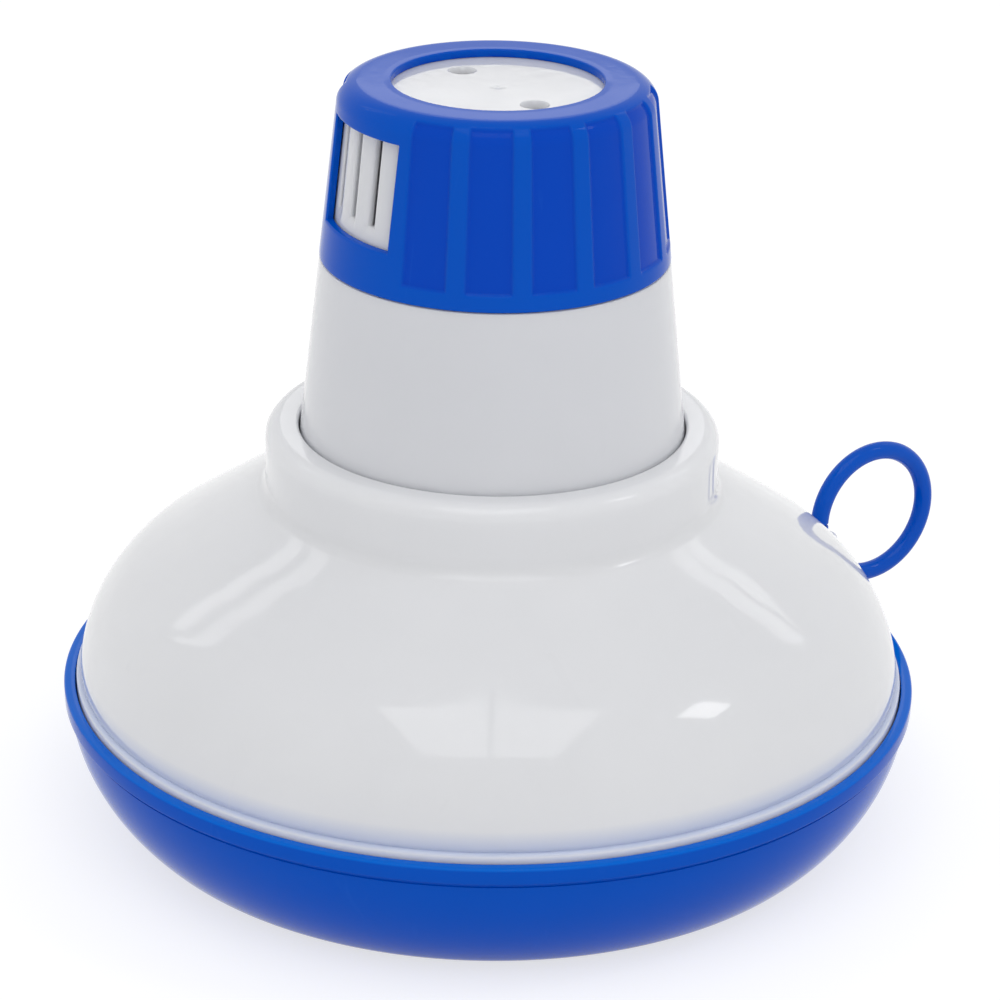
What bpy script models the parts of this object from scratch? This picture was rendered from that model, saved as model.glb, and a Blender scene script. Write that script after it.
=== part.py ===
"""Floating chlorine dispenser for a pool, standing on its float as it is stored.

In water the float bowl is uppermost and the canister hangs below it. Z is the axis of every turned
piece, +X points at the tether ring, and the origin is the centre of the bowl's flat bottom. Heights
named below are measured from the seam plane, the top of the bowl's rim, where an empty carries
every piece.
"""

import math

import bmesh
import bpy
from mathutils import Matrix, Vector

MM = 0.001
STEPS = 48                       # facets round a turned piece
GAP = 0.3 * MM                   # between pieces that touch

# Bowl, the half of the float that is uppermost in water
BOWL_HEIGHT = 42 * MM
BOWL_WALL = 2.5 * MM
LIP_RADIUS = 123.2 * MM
LIP_HEIGHT = 4.7 * MM
RIM_RADIUS = 120 * MM            # inner edge of the rim
SIDE_TOP_RADIUS = 122.0 * MM     # under the lip
SIDE_TOP_Z = -5.4 * MM
SIDE_CURVE = 50 * MM
SIDE_TOP_ANGLE = 6.6             # degrees from vertical, under the lip
SIDE_END_ANGLE = 46.0            # degrees from vertical, where the tight corner starts
LEDGE_RADIUS = 112.2 * MM        # shelf inside the rim, which carries the shell's flange
LEDGE_Z = -4.9 * MM
LEDGE_THICKNESS = 4.3 * MM
GROOVE_INNER = 114.2 * MM
GROOVE_OUTER = 117.4 * MM
GROOVE_DEPTH = 2.8 * MM

# Shell, the white half of the float: dome, collar and canister socket in one moulding
SHELL_WALL = 2.4 * MM
COLLAR_RADIUS = 64.4 * MM
COLLAR_ROLL = 4.5 * MM           # radius of the collar's rolled top edge
COLLAR_ROLL_Z = 72.3 * MM
FILLET_Z = 60.5 * MM             # where the collar's wall starts to sweep out
FILLET_RADIUS = 5 * MM
DOME_TOP_SLOPE = 31.5            # degrees below level, where the fillet meets the dome
DOME_CURVES = [                  # radius, then the slope where the curve ends, degrees below level
    (762 * MM, 34.5),            # nearly straight
    (42.6 * MM, 78.0),
    (20 * MM, 95.0),
]
FOOT_RADIUS = 119.6 * MM         # ring at the dome's foot, which fills the bowl's rim
FOOT_EDGE = 1.2 * MM             # rounding of its top edge
FOOT_WALL = 3.6 * MM
FLANGE_LOW_Z = -4.6 * MM         # flat underside, which rests on the bowl's ledge
FLANGE_THICKNESS = 2.4 * MM
SPIGOT_OUTER = 111.8 * MM        # ring under the flange, which centres it in the ledge
SPIGOT_INNER = 109.6 * MM
SPIGOT_DEPTH = 7.3 * MM
SNAP_COUNT = 4                   # beads on the spigot, which snap under the ledge
SNAP_WIDTH = 14.0                # degrees
SNAP_FIRST = 45.0                # degrees
SNAP_DEPTH = 1.1 * MM            # how far a bead stands out of the spigot

# Socket and its twist lock
FLOOR_Z = 46 * MM
FLOOR_THICKNESS = 2.5 * MM
SOCKET_RADIUS = 55.4 * MM
BOSS_OUTER = 49.2 * MM
BOSS_INNER = 46.8 * MM
BOSS_HEIGHT = 14 * MM
LOCK_COUNT = 3
CATCH_RADIUS = 51.9 * MM         # outer radius of the boss's catches
CATCH_LOW = 10.5 * MM            # above the socket's floor
CATCH_HIGH = 13.0 * MM
LUG_RADIUS = 49.9 * MM           # inner radius of the canister's lugs
LUG_LOW = 5.5 * MM
LUG_HIGH = 10.0 * MM
LUG_WIDTH = 40.0                 # degrees
ENTRY_WIDTH = 46.0               # degrees, the gap between catches that a lug drops through
LOCK_TURN = 60.0                 # degrees of twist from entry to locked
STOP_WIDTH = 3.0                 # degrees

# Canister
TAPER = math.tan(math.radians(6.3))
CANISTER_WALL = 2.2 * MM
CANISTER_TOP_Z = 174.4 * MM
CANISTER_TOP_WALL = 2.4 * MM
CANISTER_EDGE = 5.0 * MM         # radius of its top edge
CANISTER_CHAMFER = 1.5 * MM      # inside that edge
STEP_Z = 126.3 * MM              # shoulder that the sleeve stands over
STEP_RADIUS = 48.9 * MM
SKIRT_RADIUS = 54.6 * MM         # straight part inside the collar
SKIRT_Z = 48.2 * MM
DRAIN_RADIUS = 4 * MM
DRAIN_OFFSET = 18.75 * MM
SLOT_COUNT = 4                   # on each of two opposite sides
SLOT_PITCH = 9.4 * MM            # the slots run parallel, as one mould slide makes them
SLOT_WIDTH = 2.6 * MM
SLOT_FLARE = 6.0 * MM            # width of the groove that each slot lies in
SLOT_LOW_Z = 143.2 * MM
SLOT_HIGH_Z = 170.0 * MM
GRILLE_TURN = 2.1                # degrees from the windows' middles, as the canister stands
SEAL_INNER = 52.3 * MM
SEAL_THICKNESS = 1.6 * MM

# Control sleeve
SLEEVE_WALL = 2.2 * MM
SLEEVE_TOP_Z = 176.7 * MM
SLEEVE_FLANGE = 2.0 * MM
SLEEVE_HOLE = 29.2 * MM
SLEEVE_SHOULDER = 6.5 * MM       # radius of its top edge
SLEEVE_CHAMFER = 2.5 * MM        # inside that edge
SLEEVE_LOW_Z = 126.6 * MM
SLEEVE_LOW_RADIUS = 49.0 * MM
SLEEVE_CLEARANCE = 0.4 * MM
WINDOW_LOW_Z = 138.9 * MM
WINDOW_HIGH_Z = 168.4 * MM
WINDOW_WIDTH = 33.0 * MM         # between its upright sides
FLUTE_PITCH = 21.5               # degrees
FLUTE_WIDTH = 15.0               # degrees
FLUTE_FIRST = 34.4               # degrees from a window's centre
FLUTE_COUNT = 6                  # on each side, between the windows
FLUTE_DEPTH = 0.8 * MM
FLUTE_LOW_Z = 131.4 * MM
BEAD_Z = 129.6 * MM              # snap bead inside the sleeve, in a groove round the canister
BEAD_HEIGHT = 0.9 * MM
SLEEVE_TURN = 90.0               # degrees between its stops
PIP_INNER = 33.0 * MM            # stop pips on the canister, in channels under the sleeve's flange
PIP_OUTER = 35.4 * MM
PIP_WIDTH = 6.0                  # degrees
PIP_HEIGHT = 0.9 * MM
CHANNEL_DEPTH = 1.0 * MM

# Tether ring and the lug that carries it
RING_RADIUS = 20.2 * MM          # of the rod's centre line
ROD_RADIUS = 2.8 * MM
RING_AXIS_X = 119.1 * MM
RING_Z = 18.4 * MM
RING_SPLIT = 0.7 * MM            # butt joint of the bent rod, hidden in the lug
LUG_HOLE = 3.9 * MM
LUG_EDGE = 1.5 * MM
LUG_THICKNESS = 3.6 * MM
LUG_DROP = 4.4 * MM              # how far it sits below the ring's middle
LUG_ROOT_X = 114.2 * MM
LUG_ROOT_WIDTH = 20.0 * MM

WHITE = (0.80, 0.81, 0.83)
BLUE = (0.0, 0.10, 0.62)
RUBBER = (0.05, 0.05, 0.055)


def clear_scene():
    for thing in list(bpy.data.objects):
        bpy.data.objects.remove(thing, do_unlink=True)


def collection(name):
    group = bpy.data.collections.new(name)
    bpy.context.scene.collection.children.link(group)
    return group


def plastic(name, colour, roughness):
    """A material of one colour; every piece has its own."""
    material = bpy.data.materials.new(name)
    material.use_nodes = True
    shader = material.node_tree.nodes["Principled BSDF"]
    shader.inputs["Base Color"].default_value = (*colour, 1.0)
    shader.inputs["Roughness"].default_value = roughness
    shader.inputs["Metallic"].default_value = 0.0
    return material


def arc(centre, radius, start, end, steps):
    """Points on an arc in the (radius, height) plane, angles in degrees from +X towards +Z."""
    points = []
    for i in range(steps + 1):
        angle = math.radians(start + (end - start) * i / steps)
        points.append((centre[0] + radius * math.cos(angle), centre[1] + radius * math.sin(angle)))
    return points


def add_piece(name, mesh, material, group):
    piece = bpy.data.objects.new(name, mesh)
    group.objects.link(piece)
    piece.parent = seam_plane
    mesh.materials.append(material)
    return piece


def turned(name, profile, closed, material):
    """A solid of revolution from (radius, height) points, which run down its outer side."""
    mesh = bpy.data.meshes.new(name)
    edges = [(i, i + 1) for i in range(len(profile) - 1)]
    if closed:
        edges.append((len(profile) - 1, 0))
    mesh.from_pydata([(r, 0.0, z) for r, z in profile], edges, [])
    piece = add_piece(name, mesh, material, parts)
    screw = piece.modifiers.new("Turn", "SCREW")
    screw.axis = "Z"
    screw.angle = math.tau
    screw.steps = STEPS
    screw.render_steps = STEPS
    screw.use_merge_vertices = True
    screw.merge_threshold = 0.00001
    screw.use_smooth_shade = True
    return piece


def sectors(name, outline, width, centres, steps):
    """Wedges of a ring: the (radius, height) outline swept through width degrees at each centre."""
    body = bmesh.new()
    for centre in centres:
        turn = Matrix.Rotation(math.radians(centre - width / 2), 4, "Z")
        corners = [body.verts.new(turn @ Vector((r, 0.0, z))) for r, z in outline]
        face = body.faces.new(corners)
        bmesh.ops.spin(
            body, geom=[face, *face.edges, *face.verts], cent=(0, 0, 0), axis=(0, 0, 1),
            angle=math.radians(width), steps=steps, use_duplicate=False,
        )
    bmesh.ops.recalc_face_normals(body, faces=body.faces)
    return tool(name, body)


def prism(name, outline, low, high):
    """A flat outline of (x, y) points given a height, as a mesh."""
    curve = bpy.data.curves.new(name, "CURVE")
    curve.dimensions = "2D"
    curve.fill_mode = "BOTH"
    curve.extrude = (high - low) / 2
    spline = curve.splines.new("POLY")
    spline.points.add(len(outline) - 1)
    for point, (x, y) in zip(spline.points, outline):
        point.co = (x, y, 0.0, 1.0)
    spline.use_cyclic_u = True
    flat = bpy.data.objects.new(name, curve)
    cutters.objects.link(flat)
    bpy.context.view_layer.update()
    body = bmesh.new()
    body.from_mesh(bpy.data.meshes.new_from_object(flat))
    bpy.data.objects.remove(flat)
    bmesh.ops.remove_doubles(body, verts=body.verts, dist=0.00001)
    bmesh.ops.translate(body, verts=body.verts, vec=(0, 0, (high + low) / 2))
    bmesh.ops.recalc_face_normals(body, faces=body.faces)
    return body


def copies(body, placements):
    """One bmesh holding a copy of body at each placement."""
    mesh = bpy.data.meshes.new("pattern")
    body.to_mesh(mesh)
    body.free()
    pattern = bmesh.new()
    for placement in placements:
        before = len(pattern.verts)
        pattern.from_mesh(mesh)
        pattern.verts.ensure_lookup_table()
        bmesh.ops.transform(pattern, matrix=placement, verts=pattern.verts[before:])
    bpy.data.meshes.remove(mesh)
    return pattern


def tool(name, body):
    """A hidden object that a Boolean modifier cuts with or joins on."""
    mesh = bpy.data.meshes.new(name)
    body.to_mesh(mesh)
    body.free()
    cutter = bpy.data.objects.new(name, mesh)
    cutters.objects.link(cutter)
    cutter.parent = seam_plane
    cutter.hide_render = True
    cutter.display_type = "WIRE"
    return cutter


def boolean(piece, cutter, operation):
    step = piece.modifiers.new(cutter.name, "BOOLEAN")
    step.object = cutter
    step.operation = operation
    step.solver = "EXACT"


def spread(count, first=0.0):
    """Angles in degrees of count places round a full turn."""
    return [first + 360.0 * i / count for i in range(count)]


def base_bowl():
    """Blue bowl: a shallow dish with a lipped rim and a grooved ledge inside it."""
    start, end = SIDE_TOP_ANGLE, SIDE_END_ANGLE
    side_centre = (SIDE_TOP_RADIUS - SIDE_CURVE * math.cos(math.radians(start)),
                   SIDE_TOP_Z + SIDE_CURVE * math.sin(math.radians(start)))
    corner_radius = ((side_centre[1] - SIDE_CURVE * math.sin(math.radians(end)) + BOWL_HEIGHT)
                     / (1 - math.sin(math.radians(end))))
    corner_centre = (side_centre[0] + (SIDE_CURVE - corner_radius) * math.cos(math.radians(end)),
                     corner_radius - BOWL_HEIGHT)
    ledge_low = LEDGE_Z - LEDGE_THICKNESS
    inside_top = 10.0            # degrees, where the inner wall meets the ledge's slanted underside
    profile = [(0.0, BOWL_WALL - BOWL_HEIGHT)]
    profile += arc(corner_centre, corner_radius - BOWL_WALL, -90, -end, 3)
    profile += arc(side_centre, SIDE_CURVE - BOWL_WALL, -end, -start - inside_top, 3)[1:]
    profile += [
        (LEDGE_RADIUS, ledge_low),
        (LEDGE_RADIUS, LEDGE_Z),
        (GROOVE_INNER, LEDGE_Z),
        (GROOVE_INNER, LEDGE_Z - GROOVE_DEPTH),
        (GROOVE_OUTER, LEDGE_Z - GROOVE_DEPTH),
        (GROOVE_OUTER, LEDGE_Z),
        (RIM_RADIUS, LEDGE_Z),
        (RIM_RADIUS, -0.4 * MM),
        (RIM_RADIUS + 0.4 * MM, 0.0),
        (LIP_RADIUS - 0.7 * MM, 0.0),
        (LIP_RADIUS, -0.7 * MM),
        (LIP_RADIUS, -LIP_HEIGHT),
    ]
    profile += arc(side_centre, SIDE_CURVE, -start, -end, 5)
    profile += arc(corner_centre, corner_radius, -end, -90, 4)[1:]
    profile.append((0.0, -BOWL_HEIGHT))
    return turned("base_bowl", profile, False, plastic("bowl_blue", BLUE, 0.25))


def dome_arcs(offset, steps):
    """The dome's curves from collar to foot, moved inwards by offset; steps has one count a curve.

    The fillet is hollow, so it counts as a curve of negative radius. Each curve starts at the slope
    where the last one ends, and its centre lies on the same normal.
    """
    slope, reach = DOME_TOP_SLOPE, -FILLET_RADIUS
    centre = Vector((COLLAR_RADIUS + FILLET_RADIUS, FILLET_Z))
    points = arc(centre, FILLET_RADIUS + offset, 180, 270 - slope, steps[0])
    for (radius, end), count in zip(DOME_CURVES, steps[1:]):
        normal = Vector((math.sin(math.radians(slope)), math.cos(math.radians(slope))))
        centre -= (radius - reach) * normal
        points += arc(centre, radius - offset, 90 - slope, 90 - end, count)[1:]
        slope, reach = end, radius
    return points


def float_shell():
    """White half of the float: dome, rolled collar, socket with a locking boss, and the ring's lug."""
    roll_centre = (COLLAR_RADIUS - COLLAR_ROLL, COLLAR_ROLL_Z)
    outer = dome_arcs(0.0, (5, 2, 7, 1))
    inner = dome_arcs(SHELL_WALL, (2, 1, 4, 1))
    foot_edge_centre = (FOOT_RADIUS - FOOT_EDGE, outer[-1][1] - FOOT_EDGE)
    flange_top = FLANGE_LOW_Z + FLANGE_THICKNESS
    spigot_low = FLANGE_LOW_Z - SPIGOT_DEPTH
    profile = [
        (0.0, FLOOR_Z),
        (BOSS_INNER, FLOOR_Z),
        (BOSS_INNER, FLOOR_Z + BOSS_HEIGHT),
        (BOSS_OUTER, FLOOR_Z + BOSS_HEIGHT),
        (BOSS_OUTER, FLOOR_Z),
        (SOCKET_RADIUS, FLOOR_Z),
    ]
    profile += arc(roll_centre, COLLAR_ROLL, 180, 0, 6)
    profile += outer
    profile += arc(foot_edge_centre, FOOT_EDGE, 90, 0, 2)
    profile += [
        (FOOT_RADIUS, FLANGE_LOW_Z),
        (SPIGOT_OUTER, FLANGE_LOW_Z),
        (SPIGOT_OUTER, spigot_low),
        (SPIGOT_INNER, spigot_low),
        (SPIGOT_INNER, flange_top),
        (FOOT_RADIUS - FOOT_WALL, flange_top),
    ]
    profile += reversed(inner)
    profile += arc(roll_centre, COLLAR_ROLL - SHELL_WALL, 0, 180, 4)
    profile += [
        (SOCKET_RADIUS + SHELL_WALL, FLOOR_Z - FLOOR_THICKNESS),
        (0.0, FLOOR_Z - FLOOR_THICKNESS),
    ]
    shell = turned("float_shell", profile, False, plastic("shell_white", WHITE, 0.2))
    boolean(shell, snap_beads(), "UNION")
    boolean(shell, lock_catches(), "UNION")
    boolean(shell, lock_stops(), "UNION")
    boolean(shell, ring_lug(), "UNION")
    boolean(shell, ring_lug_hole(), "DIFFERENCE")
    return shell


def snap_beads():
    """Beads low on the spigot, wedge-shaped below so that they pass the ledge and snap under it."""
    top = LEDGE_Z - LEDGE_THICKNESS - 2 * GAP
    outline = [
        (SPIGOT_OUTER - SNAP_DEPTH, top),
        (SPIGOT_OUTER, top),
        (SPIGOT_OUTER + SNAP_DEPTH, top - 0.5 * SNAP_DEPTH),
        (SPIGOT_OUTER + SNAP_DEPTH, top - SNAP_DEPTH),
        (SPIGOT_OUTER, top - 2 * SNAP_DEPTH),
        (SPIGOT_OUTER - SNAP_DEPTH, top - 2 * SNAP_DEPTH),
    ]
    return sectors("snap_beads", outline, SNAP_WIDTH, spread(SNAP_COUNT, SNAP_FIRST), 2)


def lock_catches():
    """Arcs on the boss that hold the canister's lugs down once it is twisted."""
    outline = [
        (BOSS_OUTER - 1.0 * MM, FLOOR_Z + CATCH_LOW),
        (CATCH_RADIUS, FLOOR_Z + CATCH_LOW),
        (CATCH_RADIUS, FLOOR_Z + CATCH_HIGH - 0.8 * MM),
        (CATCH_RADIUS - 0.8 * MM, FLOOR_Z + CATCH_HIGH),
        (BOSS_OUTER - 1.0 * MM, FLOOR_Z + CATCH_HIGH),
    ]
    pitch = 360.0 / LOCK_COUNT
    return sectors("lock_catches", outline, pitch - ENTRY_WIDTH,
                   spread(LOCK_COUNT, pitch / 2), 8)


def lock_stops():
    """Posts under the catches that end the canister's twist."""
    outline = [
        (BOSS_OUTER - 1.0 * MM, FLOOR_Z - 1.0 * MM),
        (CATCH_RADIUS, FLOOR_Z - 1.0 * MM),
        (CATCH_RADIUS, FLOOR_Z + CATCH_LOW + 1.0 * MM),
        (BOSS_OUTER - 1.0 * MM, FLOOR_Z + CATCH_LOW + 1.0 * MM),
    ]
    first = LUG_WIDTH / 2 + LOCK_TURN + STOP_WIDTH / 2 + 1.5
    return sectors("lock_stops", outline, STOP_WIDTH, spread(LOCK_COUNT, first), 1)


def lug_centre():
    """Where the ring's rod passes through its lug, below the ring's middle."""
    x = RING_AXIS_X + RING_RADIUS - math.sqrt(RING_RADIUS ** 2 - LUG_DROP ** 2)
    return x, RING_Z - LUG_DROP


def ring_lug():
    """A shelf on the dome's side with a round end, pierced for the ring's rod."""
    x, z = lug_centre()
    outline = [(LUG_ROOT_X, -LUG_ROOT_WIDTH / 2)]
    outline += arc((x, 0.0), LUG_HOLE + LUG_EDGE, -70, 70, 7)
    outline.append((LUG_ROOT_X, LUG_ROOT_WIDTH / 2))
    return tool("ring_lug", prism("ring_lug", outline, z - LUG_THICKNESS / 2, z + LUG_THICKNESS / 2))


def ring_lug_hole():
    x, z = lug_centre()
    body = bmesh.new()
    bmesh.ops.create_cone(
        body, cap_ends=True, segments=20, radius1=LUG_HOLE, radius2=LUG_HOLE,
        depth=LUG_THICKNESS + 1 * MM, matrix=Matrix.Translation((x, 0, z)),
    )
    return tool("ring_lug_hole", body)


def seam_gasket():
    """Round-section ring in the bowl's groove, under the shell's flange."""
    low = LEDGE_Z - GROOVE_DEPTH + GAP
    high = FLANGE_LOW_Z - GAP
    centre = ((GROOVE_INNER + GROOVE_OUTER) / 2, (low + high) / 2)
    profile = arc(centre, (high - low) / 2, 90, -270, 8)[:-1]
    return turned("seam_gasket", profile, True, plastic("gasket_rubber", RUBBER, 0.7))


def canister_seal():
    """Flat ring on the socket's floor, which the canister's skirt closes on."""
    low = FLOOR_Z + GAP
    high = low + SEAL_THICKNESS
    outer = SKIRT_RADIUS - GAP
    profile = [(SEAL_INNER, high), (outer, high), (outer, low), (SEAL_INNER, low)]
    return turned("canister_seal", profile, True, plastic("seal_rubber", RUBBER, 0.7))


def sleeve_side(z):
    """Outer radius of the sleeve's tapered side at height z."""
    return SLEEVE_LOW_RADIUS - TAPER * (z - SLEEVE_LOW_Z)


def canister_side(z):
    """Outer radius of the canister: its exposed taper, and the slimmer part under the sleeve."""
    if z > STEP_Z:
        return sleeve_side(z) - SLEEVE_WALL - SLEEVE_CLEARANCE
    return STEP_RADIUS + TAPER * (STEP_Z - z)


def canister():
    """White canister: a tapered cup with its mouth down, grilles, drain holes and locking lugs."""
    edge_z = CANISTER_TOP_Z - CANISTER_EDGE
    edge_centre = (canister_side(edge_z) - CANISTER_EDGE, edge_z)
    taper_end_z = STEP_Z - (SKIRT_RADIUS - STEP_RADIUS) / TAPER
    ceiling = CANISTER_TOP_Z - CANISTER_TOP_WALL
    chamfer_z = ceiling - CANISTER_CHAMFER
    groove_low, groove_high = BEAD_Z - 1.3 * MM, BEAD_Z + 1.3 * MM
    groove_depth = 0.9 * MM
    profile = [(0.0, CANISTER_TOP_Z)]
    profile += arc(edge_centre, CANISTER_EDGE, 90, 0, 5)
    profile += [
        (canister_side(groove_high), groove_high),
        (canister_side(BEAD_Z) - groove_depth, groove_high - 0.6 * MM),
        (canister_side(BEAD_Z) - groove_depth, groove_low + 0.6 * MM),
        (canister_side(groove_low), groove_low),
        (canister_side(STEP_Z + GAP), STEP_Z),
        (STEP_RADIUS, STEP_Z),
        (SKIRT_RADIUS, taper_end_z),
        (SKIRT_RADIUS, SKIRT_Z),
        (SKIRT_RADIUS - CANISTER_WALL, SKIRT_Z),
        (SKIRT_RADIUS - CANISTER_WALL, taper_end_z),
        (canister_side(STEP_Z + GAP) - CANISTER_WALL, STEP_Z - 4 * MM),
        (canister_side(chamfer_z) - CANISTER_WALL, chamfer_z),
        (canister_side(ceiling) - CANISTER_WALL - CANISTER_CHAMFER, ceiling),
        (0.0, ceiling),
    ]
    cup = turned("canister", profile, False, plastic("canister_white", WHITE, 0.2))
    boolean(cup, lock_lugs(), "UNION")
    boolean(cup, stop_pips(), "UNION")
    boolean(cup, grille_slots(), "DIFFERENCE")
    boolean(cup, drain_holes(), "DIFFERENCE")
    return cup


def lock_lugs():
    """Lugs inside the canister's mouth, which pass between the boss's catches."""
    inner_wall = SKIRT_RADIUS - CANISTER_WALL
    outline = [
        (inner_wall + 1.0 * MM, FLOOR_Z + LUG_LOW),
        (inner_wall + 1.0 * MM, FLOOR_Z + LUG_HIGH),
        (LUG_RADIUS, FLOOR_Z + LUG_HIGH),
        (LUG_RADIUS, FLOOR_Z + LUG_LOW + 1.0 * MM),
        (LUG_RADIUS + 1.0 * MM, FLOOR_Z + LUG_LOW),
    ]
    return sectors("lock_lugs", outline, LUG_WIDTH, spread(LOCK_COUNT), 6)


def stop_pips():
    """Pips on the canister's end that stop the sleeve at each end of its turn."""
    outline = [
        (PIP_INNER, CANISTER_TOP_Z - 1.0 * MM),
        (PIP_INNER, CANISTER_TOP_Z + PIP_HEIGHT),
        (PIP_OUTER, CANISTER_TOP_Z + PIP_HEIGHT),
        (PIP_OUTER, CANISTER_TOP_Z - 1.0 * MM),
    ]
    return sectors("stop_pips", outline, PIP_WIDTH, spread(2), 1)


def grille_slots():
    """Narrow slots between rounded bars: each cutter is a slot with a flared mouth, on the taper."""
    half, flare = SLOT_WIDTH / 2, SLOT_FLARE / 2
    outline = [
        (-4.0 * MM, -half), (-1.5 * MM, -half), (-0.6 * MM, -half - 0.5 * MM), (0.0, -flare),
        (1.5 * MM, -flare), (1.5 * MM, flare),
        (0.0, flare), (-0.6 * MM, half + 0.5 * MM), (-1.5 * MM, half), (-4.0 * MM, half),
    ]
    middle_z = (SLOT_LOW_Z + SLOT_HIGH_Z) / 2
    half_length = (SLOT_HIGH_Z - SLOT_LOW_Z) / 2
    body = prism("slot", outline, -half_length, half_length)
    lean = Matrix.Rotation(-math.atan(TAPER), 4, "Y")
    out = Matrix.Translation((canister_side(middle_z), 0, middle_z))
    placements = []
    for side in spread(2, GRILLE_TURN):
        for i in range(SLOT_COUNT):
            offset = (i - (SLOT_COUNT - 1) / 2) * SLOT_PITCH
            angle = math.asin(offset / canister_side(middle_z))
            upright = Matrix.Rotation(-math.atan(TAPER * math.tan(angle)), 4, "X")
            turn = Matrix.Rotation(math.radians(side) + angle, 4, "Z")
            placements.append(turn @ out @ lean @ upright)
    return tool("grille_slots", copies(body, placements))


def drain_holes():
    body = bmesh.new()
    for side in (-1, 1):
        place = Matrix.Translation((0, side * DRAIN_OFFSET, CANISTER_TOP_Z - CANISTER_TOP_WALL / 2))
        bmesh.ops.create_cone(
            body, cap_ends=True, segments=20, radius1=DRAIN_RADIUS, radius2=DRAIN_RADIUS,
            depth=CANISTER_TOP_WALL + 4 * MM, matrix=place,
        )
    return tool("drain_holes", body)


def control_sleeve():
    """Blue sleeve that turns on the canister's end: fluted grip, two windows and a flanged top."""
    lean = math.degrees(math.atan(TAPER))
    shoulder_z = SLEEVE_TOP_Z - SLEEVE_SHOULDER
    tangent_z = shoulder_z + SLEEVE_SHOULDER * math.sin(math.radians(lean))
    shoulder_r = sleeve_side(tangent_z) - SLEEVE_SHOULDER * math.cos(math.radians(lean))
    ceiling = SLEEVE_TOP_Z - SLEEVE_FLANGE
    chamfer_z = ceiling - SLEEVE_CHAMFER
    profile = [(SLEEVE_HOLE, SLEEVE_TOP_Z)]
    profile += arc((shoulder_r, shoulder_z), SLEEVE_SHOULDER, 90, lean, 5)
    profile += [
        (SLEEVE_LOW_RADIUS, SLEEVE_LOW_Z),
        (SLEEVE_LOW_RADIUS - SLEEVE_WALL, SLEEVE_LOW_Z),
        (sleeve_side(BEAD_Z) - SLEEVE_WALL, BEAD_Z - BEAD_HEIGHT),
        (sleeve_side(BEAD_Z) - SLEEVE_WALL - 0.7 * MM, BEAD_Z),
        (sleeve_side(BEAD_Z) - SLEEVE_WALL, BEAD_Z + BEAD_HEIGHT),
        (sleeve_side(chamfer_z) - SLEEVE_WALL, chamfer_z),
        (sleeve_side(ceiling) - SLEEVE_WALL - SLEEVE_CHAMFER, ceiling),
        (SLEEVE_HOLE, ceiling),
    ]
    sleeve = turned("control_sleeve", profile, True, plastic("sleeve_blue", BLUE, 0.25))
    boolean(sleeve, flutes(), "DIFFERENCE")
    boolean(sleeve, windows(), "DIFFERENCE")
    boolean(sleeve, stop_channels(), "DIFFERENCE")
    return sleeve


def flutes():
    """Shallow panels between the grip ribs, which run out over the rounded shoulder."""
    top = SLEEVE_TOP_Z + 2 * MM
    outline = [
        (sleeve_side(FLUTE_LOW_Z) - FLUTE_DEPTH, FLUTE_LOW_Z),
        (sleeve_side(FLUTE_LOW_Z) + 3 * MM, FLUTE_LOW_Z),
        (sleeve_side(top) + 3 * MM, top),
        (sleeve_side(top) - FLUTE_DEPTH, top),
    ]
    centres = [side + FLUTE_FIRST + i * FLUTE_PITCH for side in (0, 180) for i in range(FLUTE_COUNT)]
    return sectors("flutes", outline, FLUTE_WIDTH, centres, 3)


def windows():
    """Two opposite windows with upright sides, which uncover the canister's grilles."""
    inside, outside = SLEEVE_HOLE, SLEEVE_LOW_RADIUS + 3 * MM
    half = WINDOW_WIDTH / 2
    body = bmesh.new()
    for side in (-1, 1):
        near, far = sorted((side * inside, side * outside))
        corners = [(near, -half), (far, -half), (far, half), (near, half)]
        low = [body.verts.new((x, y, WINDOW_LOW_Z)) for x, y in corners]
        face = body.faces.new(low)
        raised = bmesh.ops.extrude_face_region(body, geom=[face])["geom"]
        lifted = [item for item in raised if isinstance(item, bmesh.types.BMVert)]
        bmesh.ops.translate(body, verts=lifted, vec=(0, 0, WINDOW_HIGH_Z - WINDOW_LOW_Z))
    bmesh.ops.recalc_face_normals(body, faces=body.faces)
    return tool("windows", body)


def stop_channels():
    """Arcs under the flange that the canister's pips run in."""
    ceiling = SLEEVE_TOP_Z - SLEEVE_FLANGE
    outline = [
        (PIP_INNER - 0.6 * MM, ceiling - 1.0 * MM),
        (PIP_OUTER + 0.6 * MM, ceiling - 1.0 * MM),
        (PIP_OUTER + 0.6 * MM, ceiling + CHANNEL_DEPTH),
        (PIP_INNER - 0.6 * MM, ceiling + CHANNEL_DEPTH),
    ]
    slack = 2.0
    width = SLEEVE_TURN + PIP_WIDTH + 2 * slack
    return sectors("stop_channels", outline, width, spread(2, -SLEEVE_TURN / 2), 9)


def tether_ring():
    """Rod bent into a loop through the lug, with its butt joint hidden in the lug's hole."""
    curve = bpy.data.curves.new("tether_ring", "CURVE")
    curve.dimensions = "3D"
    curve.bevel_depth = ROD_RADIUS
    curve.bevel_resolution = 3
    curve.use_fill_caps = True
    count = 40
    half_split = math.degrees(RING_SPLIT / 2 / RING_RADIUS)
    points = arc((RING_RADIUS, 0.0), RING_RADIUS, 180 + half_split, 540 - half_split, count)
    spline = curve.splines.new("POLY")
    spline.points.add(len(points) - 1)
    for point, (x, z) in zip(spline.points, points):
        point.co = (x, 0.0, z, 1.0)
    ring = bpy.data.objects.new("tether_ring", curve)
    curve.materials.append(plastic("ring_blue", BLUE, 0.25))
    parts.objects.link(ring)
    ring.parent = ring_pivot
    return ring


def empty(name, location, parent):
    mark = bpy.data.objects.new(name, None)
    mark.empty_display_size = 0.02
    mark.location = location
    mark.parent = parent
    parts.objects.link(mark)
    return mark


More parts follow.
